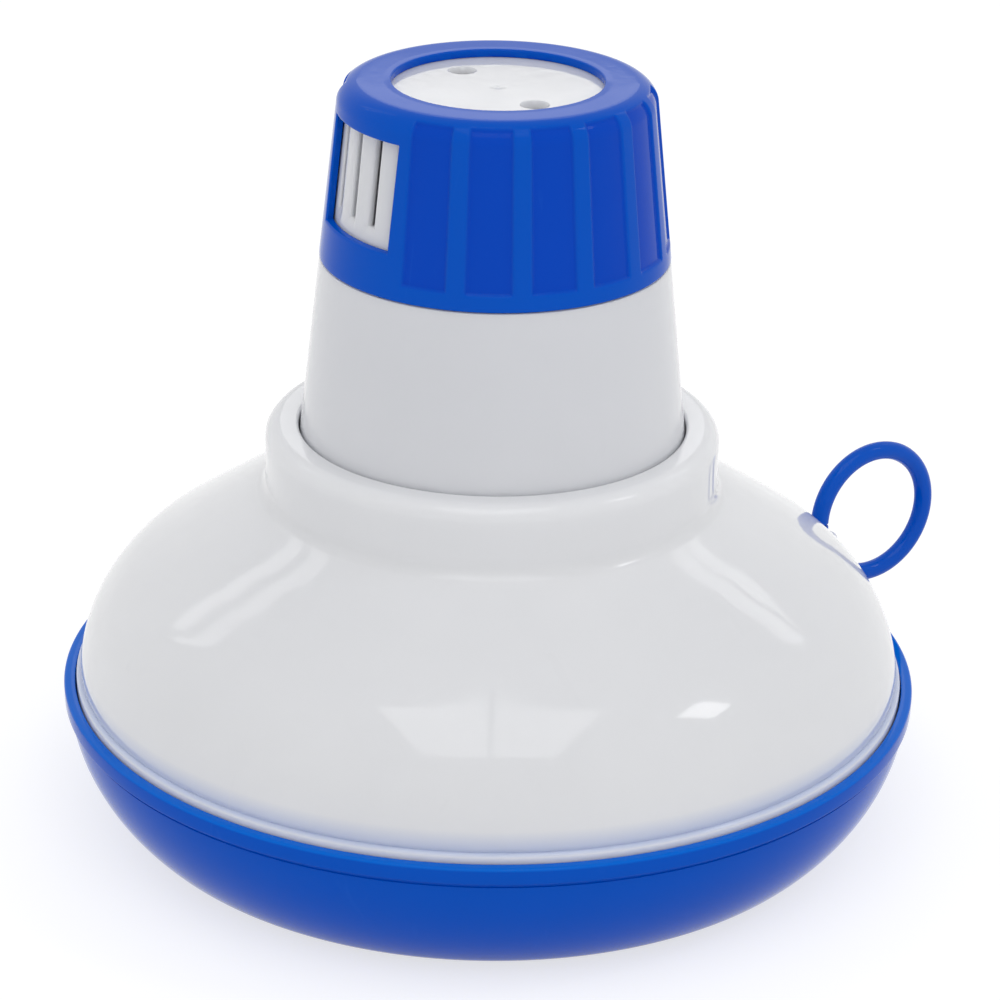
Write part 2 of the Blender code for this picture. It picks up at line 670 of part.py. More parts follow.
clear_scene()
parts = collection("chlorine_dispenser")
cutters = collection("cutters")
seam_plane = empty("seam_plane", (0, 0, BOWL_HEIGHT), None)
ring_pivot = empty("ring_pivot", (RING_AXIS_X, 0, RING_Z), seam_plane)

base_bowl()
float_shell()
seam_gasket()
canister_seal()
canister()
control_sleeve()
tether_ring()
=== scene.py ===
"""Looks of a floating chlorine dispenser, laid out as a Blender add-on and run as a script.

The frame gives every piece's place. Each moulding is one closed surface worked out with numpy: a
profile of (radius, height) points turned about the dispenser's axis, with its ribs, lugs and
openings written as formulas of the angle and the height.
"""

import math

import bmesh
import bpy
import numpy as np
from bpy.props import FloatProperty, FloatVectorProperty, PointerProperty
from mathutils import Matrix, Vector


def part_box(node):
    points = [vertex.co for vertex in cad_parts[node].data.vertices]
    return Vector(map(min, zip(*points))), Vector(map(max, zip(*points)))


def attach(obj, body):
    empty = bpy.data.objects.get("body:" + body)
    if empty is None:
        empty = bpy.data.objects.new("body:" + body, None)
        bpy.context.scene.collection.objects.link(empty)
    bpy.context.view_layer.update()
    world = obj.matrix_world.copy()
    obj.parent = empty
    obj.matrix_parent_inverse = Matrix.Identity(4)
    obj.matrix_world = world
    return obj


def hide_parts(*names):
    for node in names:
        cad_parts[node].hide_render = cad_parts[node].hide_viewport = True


bl_info = {
    "name": "Floating Chlorine Dispenser",
    "version": (1, 0, 0),
    "blender": (4, 5, 0),
    "location": "3D View > Sidebar > Dispenser",
    "description": "Builds the mouldings, finishes and studio of a floating chlorine dispenser",
    "category": "Add Mesh",
}

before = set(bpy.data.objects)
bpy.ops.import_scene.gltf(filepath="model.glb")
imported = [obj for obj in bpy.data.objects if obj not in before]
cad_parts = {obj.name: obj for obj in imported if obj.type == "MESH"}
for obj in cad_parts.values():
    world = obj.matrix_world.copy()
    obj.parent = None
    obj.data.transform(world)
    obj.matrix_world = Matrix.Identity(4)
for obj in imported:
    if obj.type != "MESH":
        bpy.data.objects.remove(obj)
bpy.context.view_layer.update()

MM = 0.001
AROUND = 256                     # columns round a turned piece
SPACING = 2.4 * MM               # longest straight step along a profile
MERGE = 0.002 * MM               # points nearer than this become one
NEAR = 1e-5                      # what counts as the same height or angle
TINY = 1e-9                      # stands for zero in a division
SHARP_EDGE = math.radians(50)    # a fold steeper than this is shaded as an edge

TURN = 2 * math.pi
LOCKS = np.arange(3) * TURN / 3              # the canister's three locking lugs
WINDOWS = np.array([0.0, math.pi])           # the middles of the sleeve's two windows
PANELS = 6                                   # grip panels between one window and the next
SLOTS = 4                                    # slots in each grille

SEAM_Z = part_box("base_bowl")[1].z            # top of the bowl's rim
LIP_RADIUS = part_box("base_bowl")[1].y
COLLAR_TOP_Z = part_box("float_shell")[1].z
SEAL_LOW, SEAL_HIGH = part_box("canister_seal")
CANISTER_LOW, CANISTER_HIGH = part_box("canister")
SLEEVE_LOW, SLEEVE_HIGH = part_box("control_sleeve")
RING_LOW, RING_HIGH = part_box("tether_ring")
RING_CENTRE = (RING_LOW + RING_HIGH) / 2

WHITE = (1.0, 1.0, 1.0, 1.0)
BLACK = (0.0, 0.0, 0.0, 1.0)


# ---------------------------------------------------------------------------------------------
# Sizes and colours


def length(name, millimetres, description):
    """A property for a length, with its default in millimetres."""
    return FloatProperty(name=name, description=description, default=millimetres * MM,
                         unit="LENGTH", precision=5)


def angle(name, degrees, description):
    """A property for an angle, with its default in degrees."""
    return FloatProperty(name=name, description=description, default=math.radians(degrees),
                         unit="ROTATION")


def share(name, value, description):
    """A property for a share from 0 to 1."""
    return FloatProperty(name=name, description=description, default=value, min=0.0, max=1.0,
                         subtype="FACTOR")


def colour(name, value, description):
    """A property for a colour."""
    return FloatVectorProperty(name=name, description=description, default=value, size=3,
                               min=0.0, max=1.0, subtype="COLOR")


class BowlSizes(bpy.types.PropertyGroup):
    wall: length("Wall", 2.5, "Thickness of the bowl's wall")
    rim_width: length("Rim width", 3.2, "Width of the flat on top of the rim")
    lip_height: length("Lip height", 4.7, "Height of the lip round the outside of the rim")
    side_radius: length("Side radius", 122.0, "Outer radius of the bowl just under the lip")
    side_curve: length("Side curve", 50.0, "Radius of the long curve of the side")
    side_start: angle("Side start", 6.6, "Lean of the side under the lip, from vertical")
    side_end: angle("Side end", 46.0, "Lean of the side where the tight corner starts")
    ledge_radius: length("Ledge radius", 112.2, "Inner radius of the ledge inside the rim")
    ledge_depth: length("Ledge depth", 4.9, "Drop from the rim to the ledge")
    ledge_thickness: length("Ledge thickness", 4.3, "Thickness of the ledge")
    groove_inner: length("Groove inner", 114.2, "Inner radius of the gasket's groove")
    groove_outer: length("Groove outer", 117.4, "Outer radius of the gasket's groove")
    groove_depth: length("Groove depth", 2.8, "Depth of the gasket's groove")
    shadow_height: length("Shadow line height", 1.3, "Height of the fine groove under the lip")
    shadow_depth: length("Shadow line depth", 0.35, "Depth of the fine groove under the lip")


class ShellSizes(bpy.types.PropertyGroup):
    wall: length("Wall", 2.4, "Thickness of the shell's wall")
    collar_radius: length("Collar radius", 64.4, "Outer radius of the collar")
    collar_roll: length("Collar roll", 4.5, "Radius of the collar's rolled outer edge")
    # Height of the painted reflection: the bowl's blue, reflected and bounced into the dome,
    # painted into its colour.
    painted_reflection_height: length("Tint height", 6.0, "How far the bowl's blue shows up the dome")
    brim_edge: length("Brim edge", 1.0, "Radius of the collar's edge beside the canister")
    fillet_z: length("Fillet height", 60.5, "Height above the seam where the collar sweeps out")
    fillet_radius: length("Fillet radius", 5.0, "Radius of the sweep from collar to dome")
    cone_start: angle("Cone start", 31.5, "Slope of the dome's cone beside the collar")
    cone_end: angle("Cone end", 34.5, "Slope of the cone where the shoulder starts")
    cone_radius: length("Cone radius", 762.0, "Radius of the cone's slight swell")
    shoulder_end: angle("Shoulder end", 78.0, "Slope of the dome where its side starts")
    shoulder_radius: length("Shoulder radius", 42.6, "Radius of the dome's shoulder")
    side_end: angle("Side end", 95.0, "Slope of the dome's side at its foot")
    side_radius: length("Side radius", 20.0, "Radius of the dome's side")
    foot_radius: length("Foot radius", 119.6, "Outer radius of the ring at the dome's foot")
    foot_edge: length("Foot edge", 1.2, "Rounding of the foot ring's top edge")
    foot_wall: length("Foot wall", 3.6, "Thickness of the foot ring")
    flange_drop: length("Flange drop", 4.6, "Drop from the seam to the flange's flat underside")
    flange_thickness: length("Flange thickness", 2.4, "Thickness of the flange")
    spigot_outer: length("Spigot outer", 111.8, "Outer radius of the ring that centres the shell")
    spigot_inner: length("Spigot inner", 109.6, "Inner radius of the ring that centres the shell")
    spigot_depth: length("Spigot depth", 7.3, "Depth of the ring that centres the shell")
    socket_radius: length("Socket radius", 54.95, "Inner radius of the canister's socket")
    floor_z: length("Floor height", 46.0, "Height of the socket's floor above the seam")
    floor_thickness: length("Floor thickness", 2.5, "Thickness of the socket's floor")
    boss_outer: length("Boss outer", 49.2, "Outer radius of the locking boss")
    boss_inner: length("Boss inner", 46.8, "Inner radius of the locking boss")
    boss_height: length("Boss height", 14.0, "Height of the locking boss")
    catch_radius: length("Catch radius", 51.9, "Outer radius of the boss's catches")
    catch_low: length("Catch low", 10.5, "Height of a catch's underside above the floor")
    catch_high: length("Catch high", 13.0, "Height of a catch's top above the floor")
    catch_width: angle("Catch width", 74.0, "Angle that each catch takes")
    stop_turn: angle("Stop turn", 83.0, "Angle from a locked lug to the next stop's middle")
    stop_width: angle("Stop width", 3.0, "Angle that each stop takes")
    lug_hole: length("Lug hole", 3.9, "Radius of the hole that the tether ring runs through")
    lug_edge: length("Lug edge", 1.2, "Width of the lug round its hole")
    lug_thickness: length("Lug thickness", 3.0, "Thickness of the lug")
    lug_drop: length("Lug drop", 5.3, "How far the lug sits below the ring's middle")
    lug_root: length("Lug root", 20.0, "Width of the lug where it leaves the dome")
    lug_inset: length("Lug inset", 5.4, "Distance from the hole's axis to the lug's root")
    lug_spread: angle("Lug spread", 70.0, "Angle from the lug's tip to where its flank starts")


class CanisterSizes(bpy.types.PropertyGroup):
    wall: length("Wall", 2.2, "Thickness of the canister's wall")
    end_wall: length("End wall", 2.4, "Thickness of the canister's end")
    end_edge: length("End edge", 5.0, "Rounding of the canister's end")
    taper: angle("Taper", 6.3, "Lean of the canister's side")
    step_z: length("Step height", 126.3, "Height above the seam of the shoulder under the sleeve")
    step_radius: length("Step radius", 48.9, "Radius of the shoulder under the sleeve")
    sweep: length("Sweep", 30.0, "Radius of the curve from the skirt to the tapered side")
    clearance: length("Clearance", 0.4, "Gap between the canister and the sleeve")
    slot_width: length("Slot width", 2.6, "Width of a grille's slot")
    slot_flank: length("Slot flank", 2.4, "Width of the rounded flank on each side of a slot")
    slot_depth: length("Slot depth", 0.9, "How far a flank falls away at the slot")
    slot_pitch: length("Slot pitch", 9.4, "Distance from one slot to the next")
    slot_low: length("Slot low", 143.2, "Height above the seam of the slots' lower ends")
    slot_high: length("Slot high", 168.6, "Height above the seam of the slots' upper ends")
    grille_turn: angle("Grille turn", 2.1, "Turn of the grilles from the windows' middles")
    pip_height: length("Pip height", 0.9, "Height of the two pips that stop the sleeve's turn")
    pip_inner: length("Pip inner", 33.0, "Inner radius of the two pips")
    pip_outer: length("Pip outer", 35.4, "Outer radius of the two pips")
    pip_width: angle("Pip width", 6.0, "Angle that each pip takes")
    disc_radius: length("Disc radius", 26.0, "Radius of the flat that holds the drain holes")
    drain_radius: length("Drain radius", 4.0, "Radius of the two drain holes at the outside")
    drain_throat: length("Drain throat", 2.6, "Radius of the two drain holes at the inside")
    drain_offset: length("Drain offset", 18.75, "Distance of a drain hole from the axis")
    lug_radius: length("Lug radius", 49.9, "Inner radius of the locking lugs in the mouth")
    lug_low: length("Lug low", 5.5, "Height of a lug's underside above the socket's floor")
    lug_high: length("Lug high", 10.0, "Height of a lug's top above the socket's floor")
    lug_width: angle("Lug width", 40.0, "Angle that each lug takes")


class SleeveSizes(bpy.types.PropertyGroup):
    wall: length("Wall", 2.2, "Thickness of the sleeve's wall")
    flange: length("Flange", 2.0, "Thickness of the sleeve's top")
    hole_radius: length("Hole radius", 29.2, "Radius of the opening in the sleeve's top")
    shoulder: length("Shoulder", 6.5, "Rounding of the sleeve's top edge")
    window_low: length("Window low", 138.9, "Height above the seam of the windows' sills")
    window_high: length("Window high", 168.4, "Height above the seam of the windows' heads")
    window_width: length("Window width", 33.0, "Width between a window's upright sides")
    flute_pitch: angle("Flute pitch", 21.5, "Angle from one grip panel to the next")
    flute_width: angle("Flute width", 15.0, "Angle that each sunk panel takes")
    flute_first: angle("First flute", 34.4, "Angle from a window's middle to the first panel's")
    flute_depth: length("Flute depth", 0.8, "How far a panel is sunk below the ribs")
    flute_end: angle("Flute end", 50.0, "Slope of the shoulder where the panels run out")
    flute_low: length("Flute low", 131.4, "Height above the seam of the panels' lower ends")
    bead_z: length("Bead height", 129.6, "Height above the seam of the snap bead and its groove")
    channel_inner: length("Channel inner", 32.4, "Inner radius of the channels that take the pips")
    channel_outer: length("Channel outer", 36.0, "Outer radius of the channels that take the pips")
    channel_depth: length("Channel depth", 1.0, "Depth of the channels that take the pips")
    channel_turn: angle("Channel turn", -45.0, "Angle from a window's middle to a channel's")
    channel_width: angle("Channel width", 100.0, "Angle that each channel takes")


class Finish(bpy.types.PropertyGroup):
    shell_white: colour("Shell white", (0.825, 0.835, 0.865), "Colour of the shell")
    canister_white: colour("Canister white", (0.725, 0.735, 0.77), "Colour of the canister")
    translucency: share("Translucency", 0.7, "How far light soaks into the white mouldings")
    blue: colour("Blue", (0.0, 0.088, 0.56), "Colour of the bowl, sleeve and ring")
    # Painted light: a lighter blue on top of the rim, standing for the light from above and the
    # dome's reflection in it.
    rim_top_painted_light: colour("Rim blue", (0.0, 0.14, 0.68), "Colour on top of the bowl's rim")
    # Painted reflection: a bluish colour at the dome's foot, standing for the bowl's blue reflected
    # and bounced into the white shell.
    shell_painted_blue_reflection: colour("Shell tint", (0.56, 0.62, 0.80), "Colour of the shell beside the bowl")
    # Painted shade: a darker blue in the sunk grip panels, standing for the shade and the dark
    # reflections they show.
    panel_painted_shade: colour("Panel blue", (0.0, 0.062, 0.53), "Colour in the sleeve's glossy panels")
    blue_worn: colour("Worn blue", (0.02, 0.13, 0.62), "Colour of the blue where it is scuffed")
    rubber: colour("Rubber", (0.035, 0.035, 0.04), "Colour of the gasket and the seal")
    gloss: share("Gloss roughness", 0.045, "Roughness of the clean moulded surfaces")


class Studio(bpy.types.PropertyGroup):
    lens: FloatProperty(name="Lens", description="Focal length of the camera", default=126.0,
                        unit="CAMERA")
    camera_distance: length("Camera distance", 921.4, "Level distance from the axis to the camera")
    camera_height: length("Camera height", 489.0, "Height of the camera above the floor")
    camera_azimuth: angle("Camera azimuth", -32.2, "Where the camera stands round the dispenser")
    camera_pan: angle("Camera pan", -0.157, "Turn of the camera away from the axis")
    camera_pitch: angle("Camera pitch", 23.209, "How far the camera looks down")
    camera_roll: angle("Camera roll", 1.005, "Turn of the camera about its own line of sight")
    sky_top: share("Sky overhead", 0.53, "Brightness of the light from overhead")
    sky_side: share("Sky at the sides", 0.98, "Brightness of the light from the sides")
    floor: share("Floor", 0.9, "How pale the floor is")
    floor_glow: share("Floor glow", 0.68, "Share of white in the floor where it is seen")


GROUPS = {
    "bowl_sizes": BowlSizes,
    "shell_sizes": ShellSizes,
    "canister_sizes": CanisterSizes,
    "sleeve_sizes": SleeveSizes,
    "finish": Finish,
    "studio": Studio,
}


# ---------------------------------------------------------------------------------------------
# Paths and surfaces


def arc(centre, radius, start, end, count):
    """count + 1 points of a circle, centre + radius * (cos a, sin a), with a in degrees."""
    a = np.radians(np.linspace(start, end, count + 1))
    return np.column_stack([centre[0] + radius * np.cos(a), centre[1] + radius * np.sin(a)])


def rounded(corners, steps=5):
    """A path through (radius, height, fillet) corners, each rounded by an arc of its fillet.

    The arc touches both runs at fillet / tan(half) from the corner, where half is half of the
    angle between them, and its points are the spherical mean of the arc's two end radii.
    """
    points = [corners[0][:2]]
    for before, here, after in zip(corners, corners[1:], corners[2:]):
        corner, fillet = np.array(here[:2]), here[2]
        if fillet == 0:
            points.append(corner)
            continue
        back = np.array(before[:2]) - corner
        on = np.array(after[:2]) - corner
        back, on = back / np.hypot(*back), on / np.hypot(*on)
        half = math.acos(np.clip(back @ on, -1, 1)) / 2
        centre = corner + (back + on) / np.hypot(*(back + on)) * fillet / math.sin(half)
        first = corner + back * fillet / math.tan(half) - centre
        last = corner + on * fillet / math.tan(half) - centre
        sweep, t = math.pi - 2 * half, np.linspace(0, 1, steps + 1)[:, None]
        points.extend(centre + (np.sin((1 - t) * sweep) * first + np.sin(t * sweep) * last)
                      / math.sin(sweep))
    points.append(corners[-1][:2])
    return np.array(points, float)


def divided(path, spacing=SPACING):
    """The same path with every run longer than spacing cut into equal steps."""
    step = np.diff(path, axis=0)
    count = np.maximum(1, np.ceil(np.hypot(*step.T) / spacing)).astype(int)
    part = np.concatenate([np.arange(n) / n for n in count])[:, None]
    return np.vstack([np.repeat(path[:-1], count, axis=0) + np.repeat(step, count, axis=0) * part,
                      path[-1:]])


def joined(**stretches):
    """The named stretches end to end as one path, and the rows that each of them takes."""
    ends = np.cumsum([len(points) for points in stretches.values()])
    rows = {name: slice(end - len(points), end)
            for (name, points), end in zip(stretches.items(), ends)}
    return np.vstack(list(stretches.values())), rows


def falling(*heights):
    """The heights of these lists as one list, highest first, each given once."""
    return np.unique(np.round(np.concatenate(heights), 7))[::-1]


def both_ends(centres, half):
    """Where the arcs that reach half to each side of their centres end."""
    return np.concatenate([np.subtract(centres, half), np.add(centres, half)])


def columns(edges=(), offsets=()):
    """Angles round a turned piece: AROUND even ones, and more at these offsets from each edge.

    An even one that is within a quarter of a step of one of those is left out.
    """
    angles = np.linspace(0, TURN, AROUND, endpoint=False)
    if len(edges):
        extra = (np.asarray(edges)[:, None] + np.asarray(offsets)[None, :]).ravel() % TURN
        clear = np.abs(nearest(angles, extra)) > TURN / AROUND / 4
        angles = np.concatenate([angles[clear], extra])
    return np.unique(np.round(angles, 6))


def polar(radius, around, height):
    """Points (r cos a, r sin a, z) on a grid of rows along the profile by columns round it."""
    r, a, z = np.broadcast_arrays(radius, around, height)
    return np.stack([r * np.cos(a), r * np.sin(a), z], axis=-1)


def spread(path, around):
    """A profile's radius and its height, each repeated at every column."""
    return path[:, :1] + 0 * around, path[:, 1:] + 0 * around


def cells(rows, count, close=False, opening=None):
    """Quads of a grid whose columns close on themselves, less the cells of its openings.

    close joins the last row to the first, as on a piece that is a ring.
    """
    i = np.arange(rows if close else rows - 1)[:, None]
    j = np.arange(count)[None, :]
    below, beside = (i + 1) % rows, (j + 1) % count
    corners = (i * count + j, below * count + j, below * count + beside, i * count + beside)
    quads = np.stack(np.broadcast_arrays(*corners), axis=-1)
    return quads.reshape(-1, 4) if opening is None else quads[~opening]


def jambs(opening, mirror, count):
    """Quads round each opening, from the outer skin's edge to the inner skin's.

    opening marks the outer skin's missing cells. Outer row i faces inner row mirror - i.
    """
    walls = []
    for axis, way, ends in ((0, 1, ((0, 0), (0, 1))), (0, -1, ((1, 0), (1, 1))),
                            (1, 1, ((0, 0), (1, 0))), (1, -1, ((0, 1), (1, 1)))):
        i, j = np.nonzero(opening & ~np.roll(opening, way, axis=axis))
        (a, b), (c, d) = ends
        first, last = (i + a, (j + b) % count), (i + c, (j + d) % count)
        walls.append(np.stack([first[0] * count + first[1], last[0] * count + last[1],
                               (mirror - last[0]) * count + last[1],
                               (mirror - first[0]) * count + first[1]], axis=-1))
    return np.vstack(walls)


def mirrored(opening, mirror):
    """The cells of the inner skin that face the outer skin's openings."""
    i, j = np.nonzero(opening)
    both = opening.copy()
    both[mirror - 1 - i, j] = True
    return both


def cut_cells(levels, low, high, off, half):
    """Marks the cells between low and high whose columns are off an opening's middle by up to half.

    levels are the heights of the cells' corners, highest first.
    """
    tall = (levels[:-1] <= high + NEAR) & (levels[1:] >= low - NEAR)
    wide = np.maximum(off, np.roll(off, -1)) <= half + NEAR
    return tall[:, None] & wide[None, :]


def pierced(path, around, outer, inner, cut, close=False):
    """Quads of a turned piece with openings through its wall, and the jambs round them.

    outer and inner are the skins' rows, and the inner skin's run the other way. cut marks the
    outer skin's cells that the openings take.
    """
    opening = np.zeros((len(path) if close else len(path) - 1, len(around)), bool)
    opening[outer.start:outer.start + len(cut)] = cut
    mirror = outer.start + inner.stop - 1
    return np.vstack([cells(len(path), len(around), close, mirrored(opening, mirror)),
                      jambs(opening, mirror, len(around))])


def turned_from(around, centre):
    """Angle from centre to each column, between minus and plus half a turn."""
    return (around - centre + math.pi) % TURN - math.pi


def nearest(around, centres):
    """Angle from the nearest of several centres to each column."""
    apart = turned_from(around[None, :], np.asarray(centres)[:, None])
    return np.take_along_axis(apart, np.abs(apart).argmin(axis=0)[None, :], axis=0)[0]


def upright(around, centres, radius, reference, full, fade):
    """Angles of columns that keep their distance beside each centre as the radius changes.

    Angle a from a centre becomes asin(reference * sin(a) / radius), which eases back to a between
    full and full + fade.
    """
    apart = nearest(around, centres)
    straight = np.arcsin(np.clip(reference * np.sin(apart) / radius, -1, 1)) - apart
    return around + straight * (1 - rise((np.abs(apart) - full) / fade))


def rise(x):
    """Smooth step from 0 to 1 as x goes from 0 to 1: x * x * (3 - 2 x)."""
    x = np.clip(x, 0, 1)
    return x * x * (3 - 2 * x)


def within(around, centres, half, ease):
    """1 up to half from the nearest centre and 0 beyond it, by a smooth step that is ease wide."""
    return rise((half - np.abs(nearest(around, centres))) / ease + 0.5)


def raise_where(shown, grid, rows, base):
    """Leave those rows of a grid as they are where shown is 1, and at base where it is 0."""
    grid[rows] = base + shown * (grid[rows] - base)


def rounded_over(x):
    """Drop of a quarter round, 1 - sqrt(1 - (1 - x)^2): 1 where x is 0, and 0 where x is 1."""
    return 1 - np.sqrt(1 - (1 - np.clip(x, 0, 1)) ** 2)


def fill_flat(body, loops):
    """Triangles over the flat area between an outer loop of points and the loops inside it."""
    edges = []
    for loop in loops:
        corners = [body.verts.new(point) for point in loop]
        edges += [body.edges.new(pair) for pair in zip(corners, corners[1:] + corners[:1])]
    bmesh.ops.triangle_fill(body, use_beauty=True, edges=edges)


def solid(name, skins, flats=()):
    """One closed mesh from grids of points and flat areas whose edges meet, faces outwards."""
    body = bmesh.new()
    for points, quads in skins:
        used, numbers = np.unique(quads, return_inverse=True)
        skin = bpy.data.meshes.new("skin")
        skin.from_pydata(points.reshape(-1, 3)[used].tolist(), [],
                         numbers.reshape(-1, 4).tolist())
        body.from_mesh(skin)
        bpy.data.meshes.remove(skin)
    for loops in flats:
        fill_flat(body, loops)
    bmesh.ops.remove_doubles(body, verts=body.verts, dist=MERGE)
    bmesh.ops.recalc_face_normals(body, faces=body.faces)
    mesh = bpy.data.meshes.new(name)
    body.to_mesh(mesh)
    body.free()
    mesh.shade_smooth()
    mesh.set_sharp_from_angle(angle=SHARP_EDGE)
    return mesh


def turned(name, path, close=False):
    """The mesh of a profile turned about the axis, or of a ring's section with close."""
    around = columns()
    points = polar(path[:, :1], around, path[:, 1:])
    return solid(name, [(points, cells(len(path), len(around), close))])


def vertices(mesh):
    """The x, y and z of a mesh's vertices, as three rows."""
    places = np.empty(3 * len(mesh.vertices))
    mesh.vertices.foreach_get("co", places)
    return places.reshape(-1, 3).T


def write_free_of_painted_light(mesh, values):
    """Write the "free_of_painted_light" attribute that moulded_plastic reads, kept between 0 and 1:
    painted light shows where it is 0.
    """
    layer = mesh.attributes.new("free_of_painted_light", "FLOAT", "POINT")
    layer.data.foreach_set("value", np.clip(values, 0, 1).astype(np.float32))


def linked(thing):
    """The object, once it is in the scene."""
    bpy.context.scene.collection.objects.link(thing)
    return thing


def add_piece(name, mesh, material, body, slot, *nodes):
    """The mesh as a piece of the dispenser, which rides on a body and stands for its nodes."""
    piece = linked(bpy.data.objects.new(name, mesh))
    mesh.materials.clear()
    mesh.materials.append(material)
    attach(piece, body)
    if nodes:
        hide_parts(*nodes)
    return piece


def united(mesh, tool):
    """The union of two closed meshes, worked out by a Boolean modifier."""
    base = linked(bpy.data.objects.new(mesh.name, mesh))
    other = linked(bpy.data.objects.new(tool.name, tool))
    step = base.modifiers.new("Union", "BOOLEAN")
    step.operation, step.solver, step.object = "UNION", "EXACT", other
    depsgraph = bpy.context.evaluated_depsgraph_get()
    result = bpy.data.meshes.new_from_object(base.evaluated_get(depsgraph))
    for thing in (base, other):
        bpy.data.objects.remove(thing)
    result.shade_smooth()
    result.set_sharp_from_angle(angle=SHARP_EDGE)
    return result


# ---------------------------------------------------------------------------------------------
# Finishes


def node(tree, kind, inputs=None, **settings):
    """A shader node with its settings, and its inputs linked or set."""
    made = tree.nodes.new(kind)
    for key, value in settings.items():
        setattr(made, key, value)
    for key, value in (inputs or {}).items():
        if isinstance(value, bpy.types.NodeSocket):
            tree.links.new(value, made.inputs[key])
        else:
            made.inputs[key].default_value = value
    return made


def noise(tree, place, scale, detail=2.0, stretch=(1, 1, 1), distortion=0.0):
    """Noise over the piece, drawn out along an axis where stretch is small."""
    drawn = node(tree, "ShaderNodeMapping", {"Vector": place, "Scale": stretch})
    made = node(tree, "ShaderNodeTexNoise", {"Vector": drawn.outputs[0], "Scale": scale,
                                             "Detail": detail, "Distortion": distortion})
    return made.outputs["Fac"]


def between(tree, value, low, high, to_low=0.0, to_high=1.0):
    """value rescaled so that low gives to_low and high gives to_high, and held there beyond."""
    made = node(tree, "ShaderNodeMapRange", {"Value": value, "From Min": low, "From Max": high,
                                             "To Min": to_low, "To Max": to_high})
    return made.outputs["Result"]


def opaque(parts, shade=1.0):
    """A colour as a socket takes it: each of its three parts times shade, and no transparency."""
    return (*(shade * part for part in parts), 1.0)


def blended(tree, factor, first, second):
    """A colour that goes from first to second with factor."""
    made = node(tree, "ShaderNodeMix", data_type="RGBA")
    for socket, value in ((made.inputs[0], factor), (made.inputs[6], first),
                          (made.inputs[7], second)):
        if isinstance(value, bpy.types.NodeSocket):
            tree.links.new(value, socket)
        else:
            socket.default_value = value
    return made.outputs[2]


def maths(tree, operation, first, second):
    """What a Math node's operation gives for two values."""
    made = node(tree, "ShaderNodeMath", {0: first, 1: second}, operation=operation)
    return made.outputs[0]


def bump(tree, height, strength, distance, beneath=None, invert=False):
    """The shading of a small relief of this height, on top of the one beneath."""
    inputs = {"Height": height, "Strength": strength, "Distance": distance}
    if beneath is not None:
        inputs["Normal"] = beneath
    return node(tree, "ShaderNodeBump", inputs, invert=invert).outputs[0]


def piece_material(name):
    """A new material, its node tree, its shader, and the place on the piece, for patterns."""
    material = bpy.data.materials.new(name)
    material.use_nodes = True
    tree = material.node_tree
    place = node(tree, "ShaderNodeTexCoord").outputs["Object"]
    return material, tree, tree.nodes["Principled BSDF"], place


def moulded_plastic(name, base, worn, roughness, streaks=0.0, specular=0.5, sunk=None):
    """Glossy moulding: faint cloudy colour, orange-peel, draw lines, fine scuffs and handling haze.

    streaks is how strongly the mould's draw lines show, running up the piece. worn is the colour
    of the scuffs, and sunk is a painted-light colour that shows where the mesh's
    "free_of_painted_light" attribute is 0: painted shade in the sleeve's panels, painted light on
    top of the bowl's rim and a painted reflection at the foot of the shell.
    """
    material, tree, shader, place = piece_material(name)
    clouds = between(tree, noise(tree, place, 14.0, 3.0), 0.35, 0.65, 0.0, 0.03)
    haze = between(tree, noise(tree, place, 38.0, 4.0, distortion=0.6), 0.42, 0.68)
    scratches = [between(tree, noise(tree, place, scale, 2.0, stretch, 0.8), 0.69, 0.73)
                 for scale, stretch in ((210.0, (1, 0.05, 0.3)), (180.0, (0.06, 1, 0.2)),
                                        (230.0, (0.3, 0.3, 0.04)))]
    scuffed = maths(tree, "MAXIMUM", maths(tree, "MAXIMUM", *scratches[:2]), scratches[2])
    scuffed = maths(tree, "MULTIPLY", scuffed, haze)
    scuff_colour, scuff_rough, haze_rough = 0.2, 0.12, 0.05
    base_with_painted_light = opaque(base)
    # Painted light: where free_of_painted_light is 0 the colour goes over to sunk, which is the
    # painted shade of the sleeve's panels, the painted light on the bowl's rim and the painted
    # reflection at the shell's foot.
    if sunk is not None:
        free_of_painted_light = node(tree, "ShaderNodeAttribute", attribute_name="free_of_painted_light").outputs["Fac"]
        base_with_painted_light = blended(tree, free_of_painted_light, opaque(sunk), base_with_painted_light)
    clouded = blended(tree, clouds, base_with_painted_light, BLACK)
    shown = blended(tree, maths(tree, "MULTIPLY", scuffed, scuff_colour), clouded, opaque(worn))
    tree.links.new(shown, shader.inputs["Base Color"])
    hazy = between(tree, haze, 0.0, 1.0, roughness, roughness + haze_rough)
    rough = maths(tree, "ADD", hazy, maths(tree, "MULTIPLY", scuffed, scuff_rough))
    tree.links.new(rough, shader.inputs["Roughness"])
    relief = bump(tree, noise(tree, place, 300.0, 1.0), 0.05, 0.04 * MM)           # orange-peel
    relief = bump(tree, noise(tree, place, 55.0, 1.0), 0.25, 0.05 * MM, relief)    # slight waves
    if streaks:
        draw_lines = noise(tree, place, 240.0, 2.0, (1, 1, 0.012))
        relief = bump(tree, draw_lines, streaks, 0.05 * MM, relief)
    relief = bump(tree, scuffed, 0.04, 0.01 * MM, relief, invert=True)
    tree.links.new(relief, shader.inputs["Normal"])
    shader.inputs["Specular IOR Level"].default_value = specular
    shader.inputs["IOR"].default_value = 1.49
    return material


